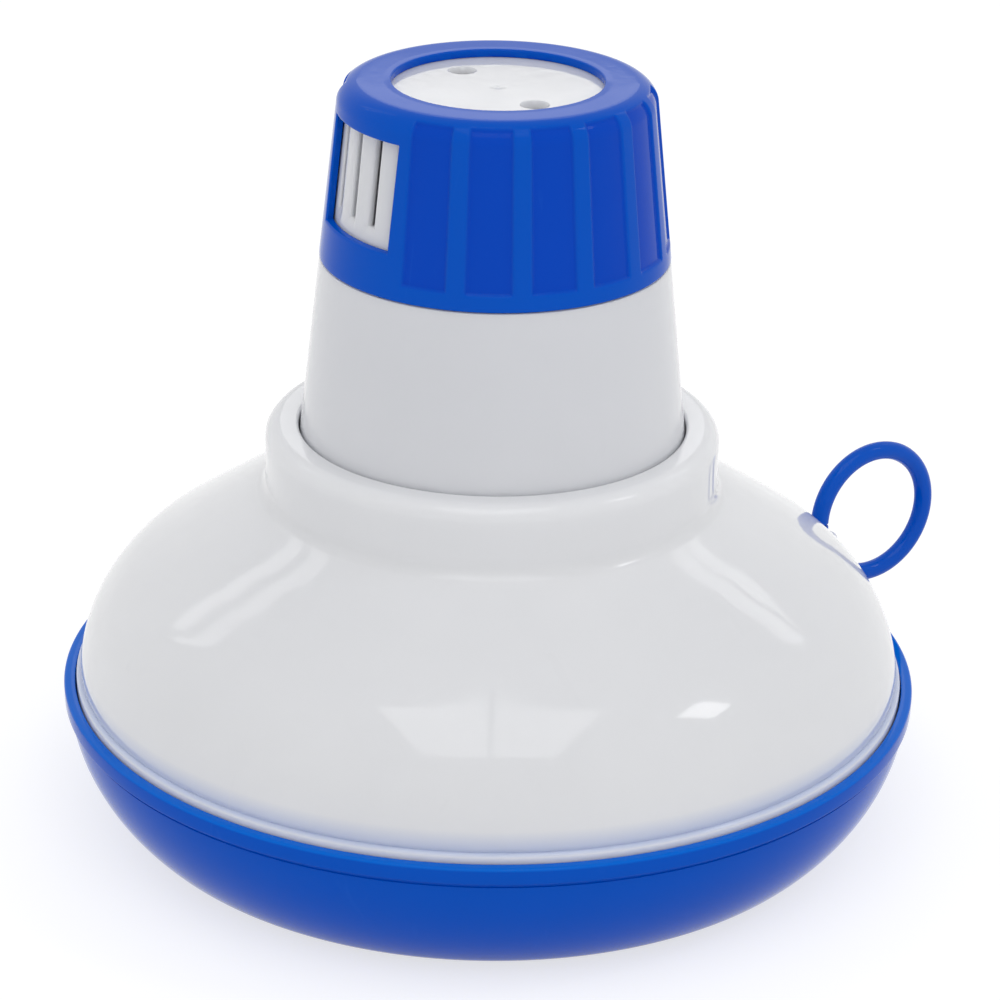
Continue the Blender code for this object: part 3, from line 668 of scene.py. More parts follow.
def rubber(name):
    """Matt rubber with a fine grain and dusty patches."""
    base = bpy.context.scene.finish.rubber
    material, tree, shader, place = piece_material(name)
    dust = between(tree, noise(tree, place, 60.0, 4.0), 0.45, 0.7)
    dusty = blended(tree, dust, opaque(base), opaque(base, 2.2))
    tree.links.new(dusty, shader.inputs["Base Color"])
    tree.links.new(between(tree, dust, 0.0, 1.0, 0.55, 0.75), shader.inputs["Roughness"])
    grain = bump(tree, noise(tree, place, 1500.0, 3.0), 0.3, 0.05 * MM)
    tree.links.new(grain, shader.inputs["Normal"])
    return material


def blue_plastic(name, streaks=0.0, sunk=None, specular=0.07):
    """The bowl's, the sleeve's and the ring's plastic: deep blue, with only a weak reflection."""
    finish = bpy.context.scene.finish
    return moulded_plastic(name, finish.blue, finish.blue_worn, finish.gloss, streaks, specular,
                           sunk)


def white_plastic(name, base, streaks=0.0, sunk=None):
    """The shell's and the canister's plastic: white, and light soaks a little way into it."""
    finish = bpy.context.scene.finish
    dulled = [0.93 * part for part in base]
    material = moulded_plastic(name, base, dulled, finish.gloss, streaks, sunk=sunk)
    shader = material.node_tree.nodes["Principled BSDF"]
    shader.inputs["Subsurface Weight"].default_value = finish.translucency
    shader.inputs["Subsurface Radius"].default_value = (1.0, 1.0, 1.0)
    shader.inputs["Subsurface Scale"].default_value = 4 * MM
    return material


# ---------------------------------------------------------------------------------------------
# The pieces


def bowl_profile(size):
    """The bowl's section: floor, ledge, rim and lip, then the curved outside down to the flat.

    Heights are from the seam. The side is a long curve, and a tight corner that touches both the
    curve and the flat.
    """
    start, end = math.degrees(size.side_start), math.degrees(size.side_end)
    top = -size.lip_height - size.shadow_height
    shadow_radius = size.side_radius - size.shadow_depth
    centre = (size.side_radius - size.side_curve * math.cos(size.side_start),
              top + size.side_curve * math.sin(size.side_start))
    corner = ((centre[1] - size.side_curve * math.sin(size.side_end) + SEAM_Z)
              / (1 - math.sin(size.side_end)))
    corner_centre = (centre[0] + (size.side_curve - corner) * math.cos(size.side_end),
                     corner - SEAM_Z)
    rim_inner = LIP_RADIUS - size.rim_width
    ledge_z, groove_z = -size.ledge_depth, -size.ledge_depth - size.groove_depth
    under_ledge = start + 10.0       # where the ledge springs from the side, in degrees
    inside_end = arc(centre, size.side_curve - size.wall, -under_ledge, -under_ledge, 1)[0]
    shelf = rounded([
        (*inside_end, 0),
        (size.ledge_radius, ledge_z - size.ledge_thickness, 0.4 * MM),
        (size.ledge_radius, ledge_z, 0.4 * MM),
        (size.groove_inner, ledge_z, 0.3 * MM),
        (size.groove_inner, groove_z, 0.3 * MM),
        (size.groove_outer, groove_z, 0.3 * MM),
        (size.groove_outer, ledge_z, 0.3 * MM),
        (rim_inner, ledge_z, 0.3 * MM),
        (rim_inner, 0, 0.35 * MM),
        (LIP_RADIUS, 0, 0.8 * MM),
        (LIP_RADIUS, -size.lip_height, 0.5 * MM),
        (shadow_radius, -size.lip_height, 0.3 * MM),
        (shadow_radius, top + 0.2 * MM, 0.3 * MM),
        (size.side_radius, top, 0),
    ])
    return divided(np.vstack([
        [(0, size.wall - SEAM_Z)],
        arc(corner_centre, corner - size.wall, -90, -end, 12),
        arc(centre, size.side_curve - size.wall, -end, -under_ledge, 12)[1:-1],
        shelf[:-1],
        arc(centre, size.side_curve, -start, -end, 24),
        arc(corner_centre, corner, -end, -90, 20)[1:],
        [(0, -SEAM_Z)],
    ]), 3 * MM)


class DISPENSER_OT_bowl(bpy.types.Operator):
    """Add the blue bowl: a shallow dish with a lipped rim and a grooved ledge inside it"""

    bl_idname = "dispenser.bowl"
    bl_label = "Bowl"

    def execute(self, context):
        """The profile turns about the axis. The "free_of_painted_light" attribute is 0 on top of
        the rim, where a lighter blue is painted for the light from above and the dome's reflection.
        """
        size = context.scene.bowl_sizes
        mesh = turned("bowl_moulding", bowl_profile(size) + (0, SEAM_Z))
        x, y, z = vertices(mesh)
        fade = 0.4 * MM
        below_rim = (SEAM_Z - 0.3 * MM - z) / fade
        inside_rim = (LIP_RADIUS - size.rim_width - np.hypot(x, y)) / fade - 0.5
        # Painted light: the top of the rim takes the lighter rim_top_painted_light blue.
        write_free_of_painted_light(mesh, np.maximum(below_rim, inside_rim))
        blue = blue_plastic("bowl_blue", sunk=context.scene.finish.rim_top_painted_light)
        add_piece("bowl_moulding", mesh, blue, "float", "bowl_blue", "base_bowl")
        return {"FINISHED"}


def dome_path(size, inset, counts):
    """The dome's curves from collar to foot, moved inwards by inset.

    counts are the steps of the fillet and of each curve. Each curve starts at the slope where the
    last one ends, and its centre lies on the same normal. The hollow fillet counts as a curve of
    negative radius.
    """
    curves = ((size.cone_radius, size.cone_end), (size.shoulder_radius, size.shoulder_end),
              (size.side_radius, size.side_end))
    slope, reach = size.cone_start, -size.fillet_radius
    centre = np.array([size.collar_radius + size.fillet_radius, size.fillet_z])
    steep = 90 - math.degrees(slope)
    parts = [arc(centre, size.fillet_radius + inset, 180, 180 + steep, counts[0])]
    for (radius, end), count in zip(curves, counts[1:]):
        centre = centre - (radius - reach) * np.array([math.sin(slope), math.cos(slope)])
        parts.append(arc(centre, radius - inset, steep, 90 - math.degrees(end), count)[1:])
        slope, reach, steep = end, radius, 90 - math.degrees(end)
    return np.vstack(parts)


def ring_radii():
    """Radius of the tether ring's rod, and of the loop along its middle."""
    rod = (RING_HIGH.y - RING_LOW.y) / 2
    return rod, (RING_HIGH.z - RING_LOW.z) / 2 - rod


def ring_lug(size, centre):
    """The lug round the tether ring's hole: a loop of (offset, height) points at each angle.

    Its outline, seen from above, is the distance from the hole's axis to a round end, two flanks
    and a flat root inside the dome's wall. A flank starts on the round end and runs straight to
    the root's corner, and a ray from the axis meets it at cross(start, run) / cross(ray, run).
    """
    around = np.linspace(0, TURN, 96, endpoint=False)
    along, across = np.cos(around), np.sin(around)
    tip_radius, spread_angle = size.lug_hole + size.lug_edge, size.lug_spread
    start = tip_radius * np.array([math.cos(spread_angle), math.sin(spread_angle)])
    run = np.array([-size.lug_inset, size.lug_root / 2]) - start
    crossing = along * run[1] - np.abs(across) * run[0]
    crossing = np.where(np.abs(crossing) < TINY, TINY, crossing)
    flank = np.abs((start[0] * run[1] - start[1] * run[0]) / crossing)
    root = -size.lug_inset / np.minimum(along, -TINY)
    outline = np.where(np.abs(turned_from(around, 0)) < spread_angle, tip_radius,
                       np.minimum(flank, root))
    edge, half = 0.6 * MM, size.lug_thickness / 2
    outer = arc((-edge, half - edge), edge, 90, 0, 5)
    inner = arc((edge, half - edge), edge, 180, 90, 4)
    outer_loop = np.vstack([outer, outer[::-1] * (1, -1)])
    inner_loop = np.vstack([inner[::-1] * (1, -1), inner])
    reach = np.vstack([size.lug_hole + inner_loop[:, :1] + 0 * around,
                       outline + outer_loop[:, :1]])
    height = np.vstack([inner_loop[:, 1:], outer_loop[:, 1:]]) + 0 * around
    points = polar(reach, around, height) + np.array(centre)
    return solid("ring_lug", [(points, cells(len(reach), len(around), close=True))])


def shell_profile(size):
    """The shell's section and its rows: socket, collar, dome and foot, and back underneath.

    Heights are from the seam. The boss's catches and stops stand out as if they ran all round.
    """
    floor, boss_top = size.floor_z, size.floor_z + size.boss_height
    collar_top = COLLAR_TOP_Z - SEAM_Z
    roll_centre = (size.collar_radius - size.collar_roll, collar_top - size.collar_roll)
    brim_z = collar_top - size.brim_edge
    outer = dome_path(size, 0, (14, 3, 26, 8))
    inner = dome_path(size, size.wall, (8, 2, 14, 4))
    foot_top = outer[-1][1]
    flange_low = -size.flange_drop
    flange_top = flange_low + size.flange_thickness
    spigot_low = flange_low - size.spigot_depth
    catch_low, catch_high = floor + size.catch_low, floor + size.catch_high
    return joined(
        floor=divided(rounded([
            (0, floor, 0),
            (size.boss_inner, floor, 0.8 * MM),
            (size.boss_inner, boss_top, 0.5 * MM),
            (size.boss_outer, boss_top, 0.5 * MM),
            (size.boss_outer, catch_high, 0),
        ])),
        catch=rounded([
            (size.boss_outer, catch_high, 0),
            (size.catch_radius, catch_high, 0.7 * MM),
            (size.catch_radius, catch_low, 0.3 * MM),
            (size.boss_outer, catch_low, 0),
        ]),
        stop=np.array([(size.catch_radius, catch_low), (size.catch_radius, floor)]),
        socket=divided(rounded([
            (size.boss_outer, floor, 0),
            (size.socket_radius, floor, 0.8 * MM),
            (size.socket_radius, brim_z, 0),
        ]))[:-1],
        brim=arc((size.socket_radius + size.brim_edge, brim_z), size.brim_edge, 180, 90, 8),
        roll=arc(roll_centre, size.collar_roll, 90, 0, 10),
        collar=divided(np.array([(size.collar_radius, roll_centre[1]),
                                 (size.collar_radius, size.fillet_z)]))[1:-1],
        dome=divided(outer),
        foot=divided(rounded([
            (outer[-1][0], foot_top, 0),
            (size.foot_radius, foot_top, size.foot_edge),
            (size.foot_radius, flange_low, 0.4 * MM),
            (size.spigot_outer, flange_low, 0.4 * MM),
            (size.spigot_outer, spigot_low, 0.6 * MM),
            (size.spigot_inner, spigot_low, 0.6 * MM),
            (size.spigot_inner, flange_top, 0.6 * MM),
            (size.foot_radius - size.foot_wall, flange_top, 0.8 * MM),
            (*inner[-1], 0),
        ]))[1:],
        under=divided(inner[::-1])[1:],
        under_roll=arc(roll_centre, size.collar_roll - size.wall, 0, 180, 10),
        under_floor=divided(rounded([
            (size.socket_radius + size.wall, roll_centre[1], 0),
            (size.socket_radius + size.wall, floor - size.floor_thickness, 1.5 * MM),
            (0, floor - size.floor_thickness, 0),
        ]))[1:],
    )


class DISPENSER_OT_shell(bpy.types.Operator):
    """Add the white half of the float: dome, rolled collar, locking socket and the ring's lug"""

    bl_idname = "dispenser.shell"
    bl_label = "Shell"

    def execute(self, context):
        """The profile turns about the axis, and the boss's catches and stops stay only in arcs.

        The "free_of_painted_light" attribute is 0 at the foot of the dome, and rises to 1 a little
        way
        up it: there a bluish colour is painted for the bowl's blue reflected in and bounced into
        the dome.
        """
        size = context.scene.shell_sizes
        path, rows = shell_profile(size)
        catches, half_catch = LOCKS + TURN / 6, size.catch_width / 2
        stops, half_stop = LOCKS + size.stop_turn, size.stop_width / 2
        ease = math.radians(1.0)
        around = columns(np.concatenate([both_ends(catches, half_catch),
                                         both_ends(stops, half_stop)]), (-0.5 * ease, 0.5 * ease))
        radius, height = spread(path, around)
        raise_where(within(around, catches, half_catch, ease), radius, rows["catch"],
                    size.boss_outer)
        raise_where(within(around, stops, half_stop, ease), radius, rows["stop"], size.boss_outer)
        points = polar(radius, around, height + SEAM_Z)
        mesh = solid("shell_moulding", [(points, cells(len(path), len(around)))])
        loop_radius = ring_radii()[1]
        hole = (RING_CENTRE.x - math.sqrt(loop_radius ** 2 - size.lug_drop ** 2), RING_CENTRE.y,
                RING_CENTRE.z - size.lug_drop)
        mesh = united(mesh, ring_lug(size, hole))
        foot_top = path[rows["dome"].stop - 1, 1]
        up_dome = vertices(mesh)[2] - (SEAM_Z + foot_top)
        on_foot = (-0.3 * MM - up_dome) / (0.6 * MM)
        # Painted reflection: the dome's foot fades to the bluish shell_painted_blue_reflection
        # colour.
        write_free_of_painted_light(mesh, np.maximum(on_foot, up_dome / size.painted_reflection_height))
        finish = context.scene.finish
        white = white_plastic("shell_white", finish.shell_white, sunk=finish.shell_painted_blue_reflection)
        add_piece("shell_moulding", mesh, white, "float", "shell_white", "float_shell")
        return {"FINISHED"}


class DISPENSER_OT_gasket(bpy.types.Operator):
    """Add the round-section gasket in the bowl's groove"""

    bl_idname = "dispenser.gasket"
    bl_label = "Seam gasket"

    def execute(self, context):
        """A circle of section turned about the axis."""
        low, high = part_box("seam_gasket")
        half = (high.z - low.z) / 2
        section = arc((high.y - half, low.z + half), half, 90, -270, 20)[:-1]
        mesh = turned("gasket_cord", section, close=True)
        add_piece("gasket_cord", mesh, rubber("gasket_rubber"), "float", "seal_rubber",
                  "seam_gasket")
        return {"FINISHED"}


class DISPENSER_OT_seal(bpy.types.Operator):
    """Add the flat seal that the canister's skirt closes on"""

    bl_idname = "dispenser.seal"
    bl_label = "Canister seal"

    def execute(self, context):
        """A flat rounded section, with a bead along its top, turned about the axis."""
        gap, edge = 0.4 * MM, 0.25 * MM
        bead, bead_half = 0.25 * MM, 0.5 * MM
        outer, inner = SEAL_HIGH.y, context.scene.shell_sizes.catch_radius + gap
        low, high = SEAL_LOW.z, SEAL_HIGH.z
        middle, flat = (outer + inner) / 2, high - bead
        section = rounded([
            (inner, (low + high) / 2, 0),
            (inner, flat, edge),
            (middle - bead_half, flat, 0.2 * MM),
            (middle, high, edge),
            (middle + bead_half, flat, 0.2 * MM),
            (outer, flat, edge),
            (outer, low, edge),
            (inner, low, edge),
            (inner, (low + high) / 2, 0),
        ])[:-1]
        mesh = turned("seal_ring", section, close=True)
        add_piece("seal_ring", mesh, rubber("seal_rubber"), "seal", "seal_rubber",
                  "canister_seal")
        return {"FINISHED"}


def sleeve_side(context, z):
    """Outer radius of the sleeve's tapered side at height z above the seam."""
    taper = math.tan(context.scene.canister_sizes.taper)
    return SLEEVE_HIGH.y - taper * (z - (SLEEVE_LOW.z - SEAM_Z))


def canister_side(context, z):
    """Outer radius of the canister's tapered side, inside the sleeve, at the same height."""
    return (sleeve_side(context, z) - context.scene.sleeve_sizes.wall
            - context.scene.canister_sizes.clearance)


def canister_profile(context, levels):
    """The canister's section and its rows: end, side, skirt and mouth, and back inside.

    Heights are from the seam, and levels are those of the grilles' rows. The pips and the locking
    lugs stand out as if they ran all round.
    """
    size = context.scene.canister_sizes
    bead_z = context.scene.sleeve_sizes.bead_z
    floor = context.scene.shell_sizes.floor_z
    top = CANISTER_HIGH.z - size.pip_height - SEAM_Z
    ceiling = top - size.end_wall
    mouth = CANISTER_LOW.z - SEAM_Z
    skirt = CANISTER_HIGH.y
    skirt_top = size.step_z - (skirt - size.step_radius) / math.tan(size.taper)

    def side(z):
        return canister_side(context, z)

    edge_z = top - size.end_edge
    touch_z = edge_z + size.end_edge * math.sin(size.taper)
    edge_r = side(touch_z) - size.end_edge * math.cos(size.taper)
    groove, groove_half = 0.9 * MM, 0.7 * MM
    groove_edge = groove_half + 0.6 * MM
    low_lug, high_lug = floor + size.lug_low, floor + size.lug_high
    inner_skirt = skirt - size.wall
    return joined(
        end=divided(np.array([(size.disc_radius, top), (size.pip_inner, top)])),
        pip=np.array([(size.pip_inner, top + size.pip_height),
                      (size.pip_outer, top + size.pip_height), (size.pip_outer, top)]),
        edge=arc((edge_r, edge_z), size.end_edge, 90, math.degrees(size.taper), 10),
        grille=np.column_stack([side(levels), levels]),
        groove=divided(rounded([
            (side(levels[-1] - MM), levels[-1] - MM, 0),
            (side(bead_z + groove_edge), bead_z + groove_edge, 0.2 * MM),
            (side(bead_z) - groove, bead_z + groove_half, 0.2 * MM),
            (side(bead_z) - groove, bead_z - groove_half, 0.2 * MM),
            (side(bead_z - groove_edge), bead_z - groove_edge, 0.2 * MM),
            (side(size.step_z + 0.3 * MM), size.step_z, 0),
        ])),
        skirt=divided(rounded([
            (size.step_radius - 0.6 * MM, size.step_z, 0),
            (size.step_radius, size.step_z, 0.4 * MM),
            (skirt, skirt_top, size.sweep),
            (skirt, mouth, 0.7 * MM),
            (inner_skirt, mouth, 0.7 * MM),
            (inner_skirt, low_lug, 0),
        ])),
        lug=rounded([
            (inner_skirt, low_lug, 0),
            (size.lug_radius, low_lug, 0.9 * MM),
            (size.lug_radius, high_lug, 0.4 * MM),
            (inner_skirt, high_lug, 0),
        ]),
        inside=divided(rounded([
            (inner_skirt, high_lug, 0),
            (inner_skirt, skirt_top, size.sweep),
            (side(size.step_z) - size.wall, size.step_z - 4 * MM, 6 * MM),
            (side(levels[-1] - MM) - size.wall, levels[-1] - MM, 0),
        ]))[1:],
        inner_grille=np.column_stack([side(levels[::-1]) - size.wall, levels[::-1]]),
        ceiling=divided(rounded([
            (side(levels[0]) - size.wall, levels[0], 0),
            (side(ceiling) - size.wall, ceiling, 2.0 * MM),
            (size.disc_radius, ceiling, 0),
        ]))[1:],
    )


class DISPENSER_OT_canister(bpy.types.Operator):
    """Add the white canister: a tapered cup with its mouth down, grilles, drain holes and lugs"""

    bl_idname = "dispenser.canister"
    bl_label = "Canister"

    def execute(self, context):
        """The profile turns about the axis, and each slot is cells left out of both its skins.

        Beside a slot the outer skin falls away by a quarter of an ellipse: at distance d from the
        slot's edge it is lower by depth * (1 - sqrt(1 - (1 - d / flank)^2)). The flank is longer
        under the slot's lower end.
        """
        size = context.scene.canister_sizes
        lip = np.array([0.0, 0.25, 0.6, 1.1, 1.6, 2.2, 2.9, 3.6]) * MM    # off a slot's end
        levels = falling(
            size.slot_high + lip[:3], size.slot_high - lip[:5],
            size.slot_low + lip[:6], size.slot_low - lip,
            np.linspace(size.slot_low + 3.5 * MM, size.slot_high - 3 * MM, 9),
        )
        path, rows = canister_profile(context, levels)
        top, ceiling = path[0, 1], path[-1, 1]
        middle_r = canister_side(context, (size.slot_low + size.slot_high) / 2)
        half_slot = size.slot_width / 2
        grilles = WINDOWS + size.grille_turn
        slots = size.slot_pitch * (np.arange(SLOTS) - (SLOTS - 1) / 2)
        steps = half_slot + np.array([0, 0.08, 0.2, 0.38, 0.6, 0.85, 1.1]) * size.slot_flank
        edges = np.arcsin((slots[:, None] + np.concatenate([-steps, steps])) / middle_r).ravel()
        around = columns(grilles, edges)
        radius, height = spread(path, around)
        ease = math.radians(1.2)
        raise_where(within(around, LOCKS, size.lug_width / 2, ease), radius, rows["lug"],
                    CANISTER_HIGH.y - size.wall)
        raise_where(within(around, WINDOWS, size.pip_width / 2, ease), height, rows["pip"], top)
        sideways = middle_r * np.sin(nearest(around, grilles))
        apart = np.abs(sideways - slots[:, None]).min(axis=0)
        level = levels[:, None]
        lower_flank = 1.6
        beyond = np.maximum(level - size.slot_high, (size.slot_low - level) / lower_flank)
        distance = np.hypot(np.maximum(apart - half_slot, 0), np.maximum(beyond, 0))
        radius[rows["grille"]] -= size.slot_depth * rounded_over(distance / size.slot_flank)
        cut = cut_cells(levels, size.slot_low, size.slot_high, apart, half_slot)
        faces = pierced(path, around, rows["grille"], rows["inner_grille"], cut)
        narrowest, widest = path[rows["inner_grille"]][-1, 0], path[rows["grille"]][-1, 0]
        straight = np.clip(path[:, :1], narrowest, widest)
        grille_half, fade = math.radians(26), math.radians(20)
        bent = upright(around, grilles, straight, middle_r, grille_half, fade)
        points = polar(radius, bent, height + SEAM_Z)
        skins, flats = self.end_openings(size, points, top + SEAM_Z, ceiling + SEAM_Z)
        mesh = solid("canister_moulding", [(points, faces), *skins], flats)
        finish = context.scene.finish
        white = white_plastic("canister_white", finish.canister_white, streaks=0.35)
        add_piece("canister_moulding", mesh, white, "canister", "canister_white", "canister")
        return {"FINISHED"}

    def end_openings(self, size, points, top, ceiling):
        """The middle of the canister's end: two drain holes with rounded mouths and a gate mark.

        The gate mark is a dimple with a nub at its middle: at radius r it stands
        nub * (1 - rise(r / nub_radius)) - dimple * (1 - rise(r / dimple_radius)) above the end.
        """
        lip = 0.7 * MM
        mouth = rounded([(size.drain_radius + 0.6 * lip, top, 0),
                         (size.drain_radius, top, 0.6 * lip),
                         (size.drain_throat, ceiling, 0.3 * lip),
                         (size.drain_throat + lip, ceiling, 0)], 4)
        ring = np.linspace(0, TURN, 72, endpoint=False)
        skins, top_loops, low_loops = [], [points[0]], [points[-1]]
        for side in (-1, 1):
            wall = polar(mouth[:, :1], ring, mouth[:, 1:]) + (0, side * size.drain_offset, 0)
            skins.append((wall, cells(len(mouth), len(ring))))
            top_loops.append(wall[0])
            low_loops.append(wall[-1])
        dimple, dimple_radius = 0.22 * MM, 2.6 * MM
        nub, nub_radius = 0.16 * MM, 0.9 * MM
        reach = np.linspace(dimple_radius + 0.4 * MM, 0, 14)[:, None]
        stand = nub * (1 - rise(reach / nub_radius)) - dimple * (1 - rise(reach / dimple_radius))
        gate = polar(reach, ring, top + stand)
        skins.append((gate, cells(len(reach), len(ring))))
        top_loops.append(gate[0])
        return skins, (top_loops, low_loops)


def sleeve_profile(context, levels, slopes):
    """The sleeve's section and its rows: top, shoulder, side and foot, and back inside.

    Heights are from the seam. levels are those of the windows' rows, and slopes are the
    shoulder's. The channels are cut as if they ran all round.
    """
    size = context.scene.sleeve_sizes
    lean = context.scene.canister_sizes.taper
    top, low = SLEEVE_HIGH.z - SEAM_Z, SLEEVE_LOW.z - SEAM_Z
    shoulder_z = top - size.shoulder
    tangent_z = shoulder_z + size.shoulder * math.sin(lean)
    shoulder_r = sleeve_side(context, tangent_z) - size.shoulder * math.cos(lean)
    ceiling = top - size.flange
    channel_z = ceiling + size.channel_depth
    clear = size.window_high + 1.9 * MM
    under = size.window_low - 2.2 * MM

    def side(z):
        return sleeve_side(context, z)

    def inner_side(z):
        return side(z) - size.wall

    inner = SLEEVE_HIGH.y - size.wall
    ledge = np.array([1.5, 0.8, 0.5, 0.25, 0.0, -0.25, -0.6, -1.2]) * MM + size.flute_low
    bead, bead_half = 0.7 * MM, 0.9 * MM
    drip, drip_inner, drip_outer = 0.22 * MM, 0.9 * MM, 1.2 * MM
    return joined(
        top=divided(rounded([
            (size.hole_radius, top - 1.0 * MM, 0),
            (size.hole_radius, top, 0.5 * MM),
            (shoulder_r, top, 0),
        ])),
        shoulder=np.column_stack([shoulder_r + size.shoulder * np.cos(slopes),
                                  shoulder_z + size.shoulder * np.sin(slopes)]),
        upper=np.array([(side(clear), clear)]),
        window=np.column_stack([side(levels), levels]),
        lower=divided(np.array([(side(under), under), (side(ledge[0]), ledge[0])]), 1.2 * MM),
        ledge=np.column_stack([side(ledge), ledge])[1:],
        foot=divided(rounded([
            (side(low + 2.5 * MM), low + 2.5 * MM, 0),
            (side(low), low, 0.5 * MM),
            (inner, low, 0.5 * MM),
            (inner_side(size.bead_z), size.bead_z - bead_half, 0.2 * MM),
            (inner_side(size.bead_z) - bead, size.bead_z, 0.3 * MM),
            (inner_side(size.bead_z), size.bead_z + bead_half, 0.2 * MM),
            (inner_side(under), under, 0),
        ])),
        inner_window=np.column_stack([inner_side(levels[::-1]), levels[::-1]]),
        inner_top=divided(rounded([
            (inner_side(clear), clear, 0),
            (inner_side(ceiling), ceiling, 3.2 * MM),
            (size.channel_outer, ceiling, 0),
        ])),
        channel=np.array([(size.channel_outer, channel_z), (size.channel_inner, channel_z)]),
        rim=divided(rounded([
            (size.channel_inner, ceiling, 0),
            (size.hole_radius + drip_outer, ceiling, 0),
            (size.hole_radius + drip_inner, ceiling - drip, 0),
            (size.hole_radius, ceiling - drip, 0.12 * MM),
            (size.hole_radius, top - 1.0 * MM, 0),
        ]))[:-1],
    )


class DISPENSER_OT_sleeve(bpy.types.Operator):
    """Add the blue sleeve: fluted grip, two windows and a flanged top"""

    bl_idname = "dispenser.sleeve"
    bl_label = "Control sleeve"

    def execute(self, context):
        """The profile turns about the axis, and each window is cells left out of both its skins.

        A grip panel pulls the outer skin in by its depth, along the direction that the skin
        faces, and runs out on the rounded shoulder.
        """
        size = context.scene.sleeve_sizes
        lean = context.scene.canister_sizes.taper
        slopes = np.linspace(math.pi / 2, lean, 25)[1:]
        lip = np.array([0.0, 0.12, 0.3, 0.6, 1.1, 1.8]) * MM              # off a window's end
        levels = falling(
            size.window_high + lip[:-1], size.window_high - lip,
            size.window_low + lip, size.window_low - lip,
            np.linspace(size.window_low + 3 * MM, size.window_high - 3 * MM, 10),
        )
        path, rows = sleeve_profile(context, levels, slopes)
        window_radius = sleeve_side(context, (size.window_low + size.window_high) / 2)
        half_window = math.asin(size.window_width / 2 / window_radius)
        turns = size.flute_first + size.flute_pitch * np.arange(PANELS)
        flutes = np.add.outer(WINDOWS, turns).ravel()
        half_flute = size.flute_width / 2
        channels, half_channel = WINDOWS + size.channel_turn, size.channel_width / 2
        step = 0.7 * MM / window_radius
        offsets = np.array([-1.2, -0.8, -0.5, -0.25, 0, 0.25, 0.5, 0.8, 1.2]) * step
        flank, run_out = 1.6 * step, math.radians(10)
        around = columns(np.concatenate([both_ends(WINDOWS, half_window),
                                         both_ends(flutes, half_flute),
                                         both_ends(channels, half_channel)]), offsets)
        radius, height = spread(path, around)
        outside = slice(rows["shoulder"].start, rows["ledge"].stop)
        facing = np.full((outside.stop - outside.start, 1), lean)
        facing[:len(slopes), 0] = slopes
        sunk = size.flute_depth * within(around, flutes, half_flute, flank)
        sunk = sunk * rise((height[outside] - size.flute_low) / (0.9 * MM) + 0.5)
        sunk = sunk * (1 - rise((facing - size.flute_end) / run_out + 0.5))
        radius[outside] -= sunk * np.cos(facing)
        height[outside] -= sunk * np.sin(facing)
        off = np.abs(nearest(around, WINDOWS))
        beside = window_radius * (math.sin(half_window) - np.sin(off))
        level = levels[:, None]
        inside = np.minimum(beside, np.minimum(size.window_high - level, level - size.window_low))
        edge = 0.55 * MM
        radius[rows["window"]] -= edge * rounded_over(-inside / edge)
        raise_where(within(around, channels, half_channel, math.radians(1.5)), height,
                    rows["channel"], SLEEVE_HIGH.z - SEAM_Z - size.flange)
        cut = cut_cells(levels, size.window_low, size.window_high, off, half_window)
        faces = pierced(path, around, rows["window"], rows["inner_window"], cut, close=True)
        narrowest, widest = path[rows["inner_top"].start, 0], path[rows["lower"].start, 0]
        straight = np.clip(path[:, :1], narrowest, widest)
        bent = upright(around, WINDOWS, straight, window_radius, half_window + 2 * step,
                       math.radians(3.5))
        points = polar(radius, bent, height + SEAM_Z)
        mesh = solid("sleeve_moulding", [(points, faces)])
        crest = SLEEVE_HIGH.z - size.shoulder * (1 - math.sin(size.flute_end))
        # Painted shade: the grip panels take the darker panel_painted_shade blue.
        self.mark_panels(mesh, flutes, half_flute, size.flute_low + SEAM_Z, crest)
        blue = blue_plastic("sleeve_blue", 0.15, context.scene.finish.panel_painted_shade)
        add_piece("sleeve_moulding", mesh, blue, "sleeve", "sleeve_blue", "control_sleeve")
        return {"FINISHED"}

    def mark_panels(self, mesh, centres, half, low, high):
        """Write the "free_of_painted_light" attribute: 0 in the panels between two heights, and 1
        elsewhere, so that the panels take a darker blue painted for their shade and dark
        reflections.
        """
        x, y, z = vertices(mesh)
        off = (np.abs(nearest(np.arctan2(y, x), centres)) - half) / math.radians(0.6)
        ends = np.maximum(low - z, z - high) / (0.8 * MM)
        write_free_of_painted_light(mesh, np.maximum(off, ends) + 0.5)


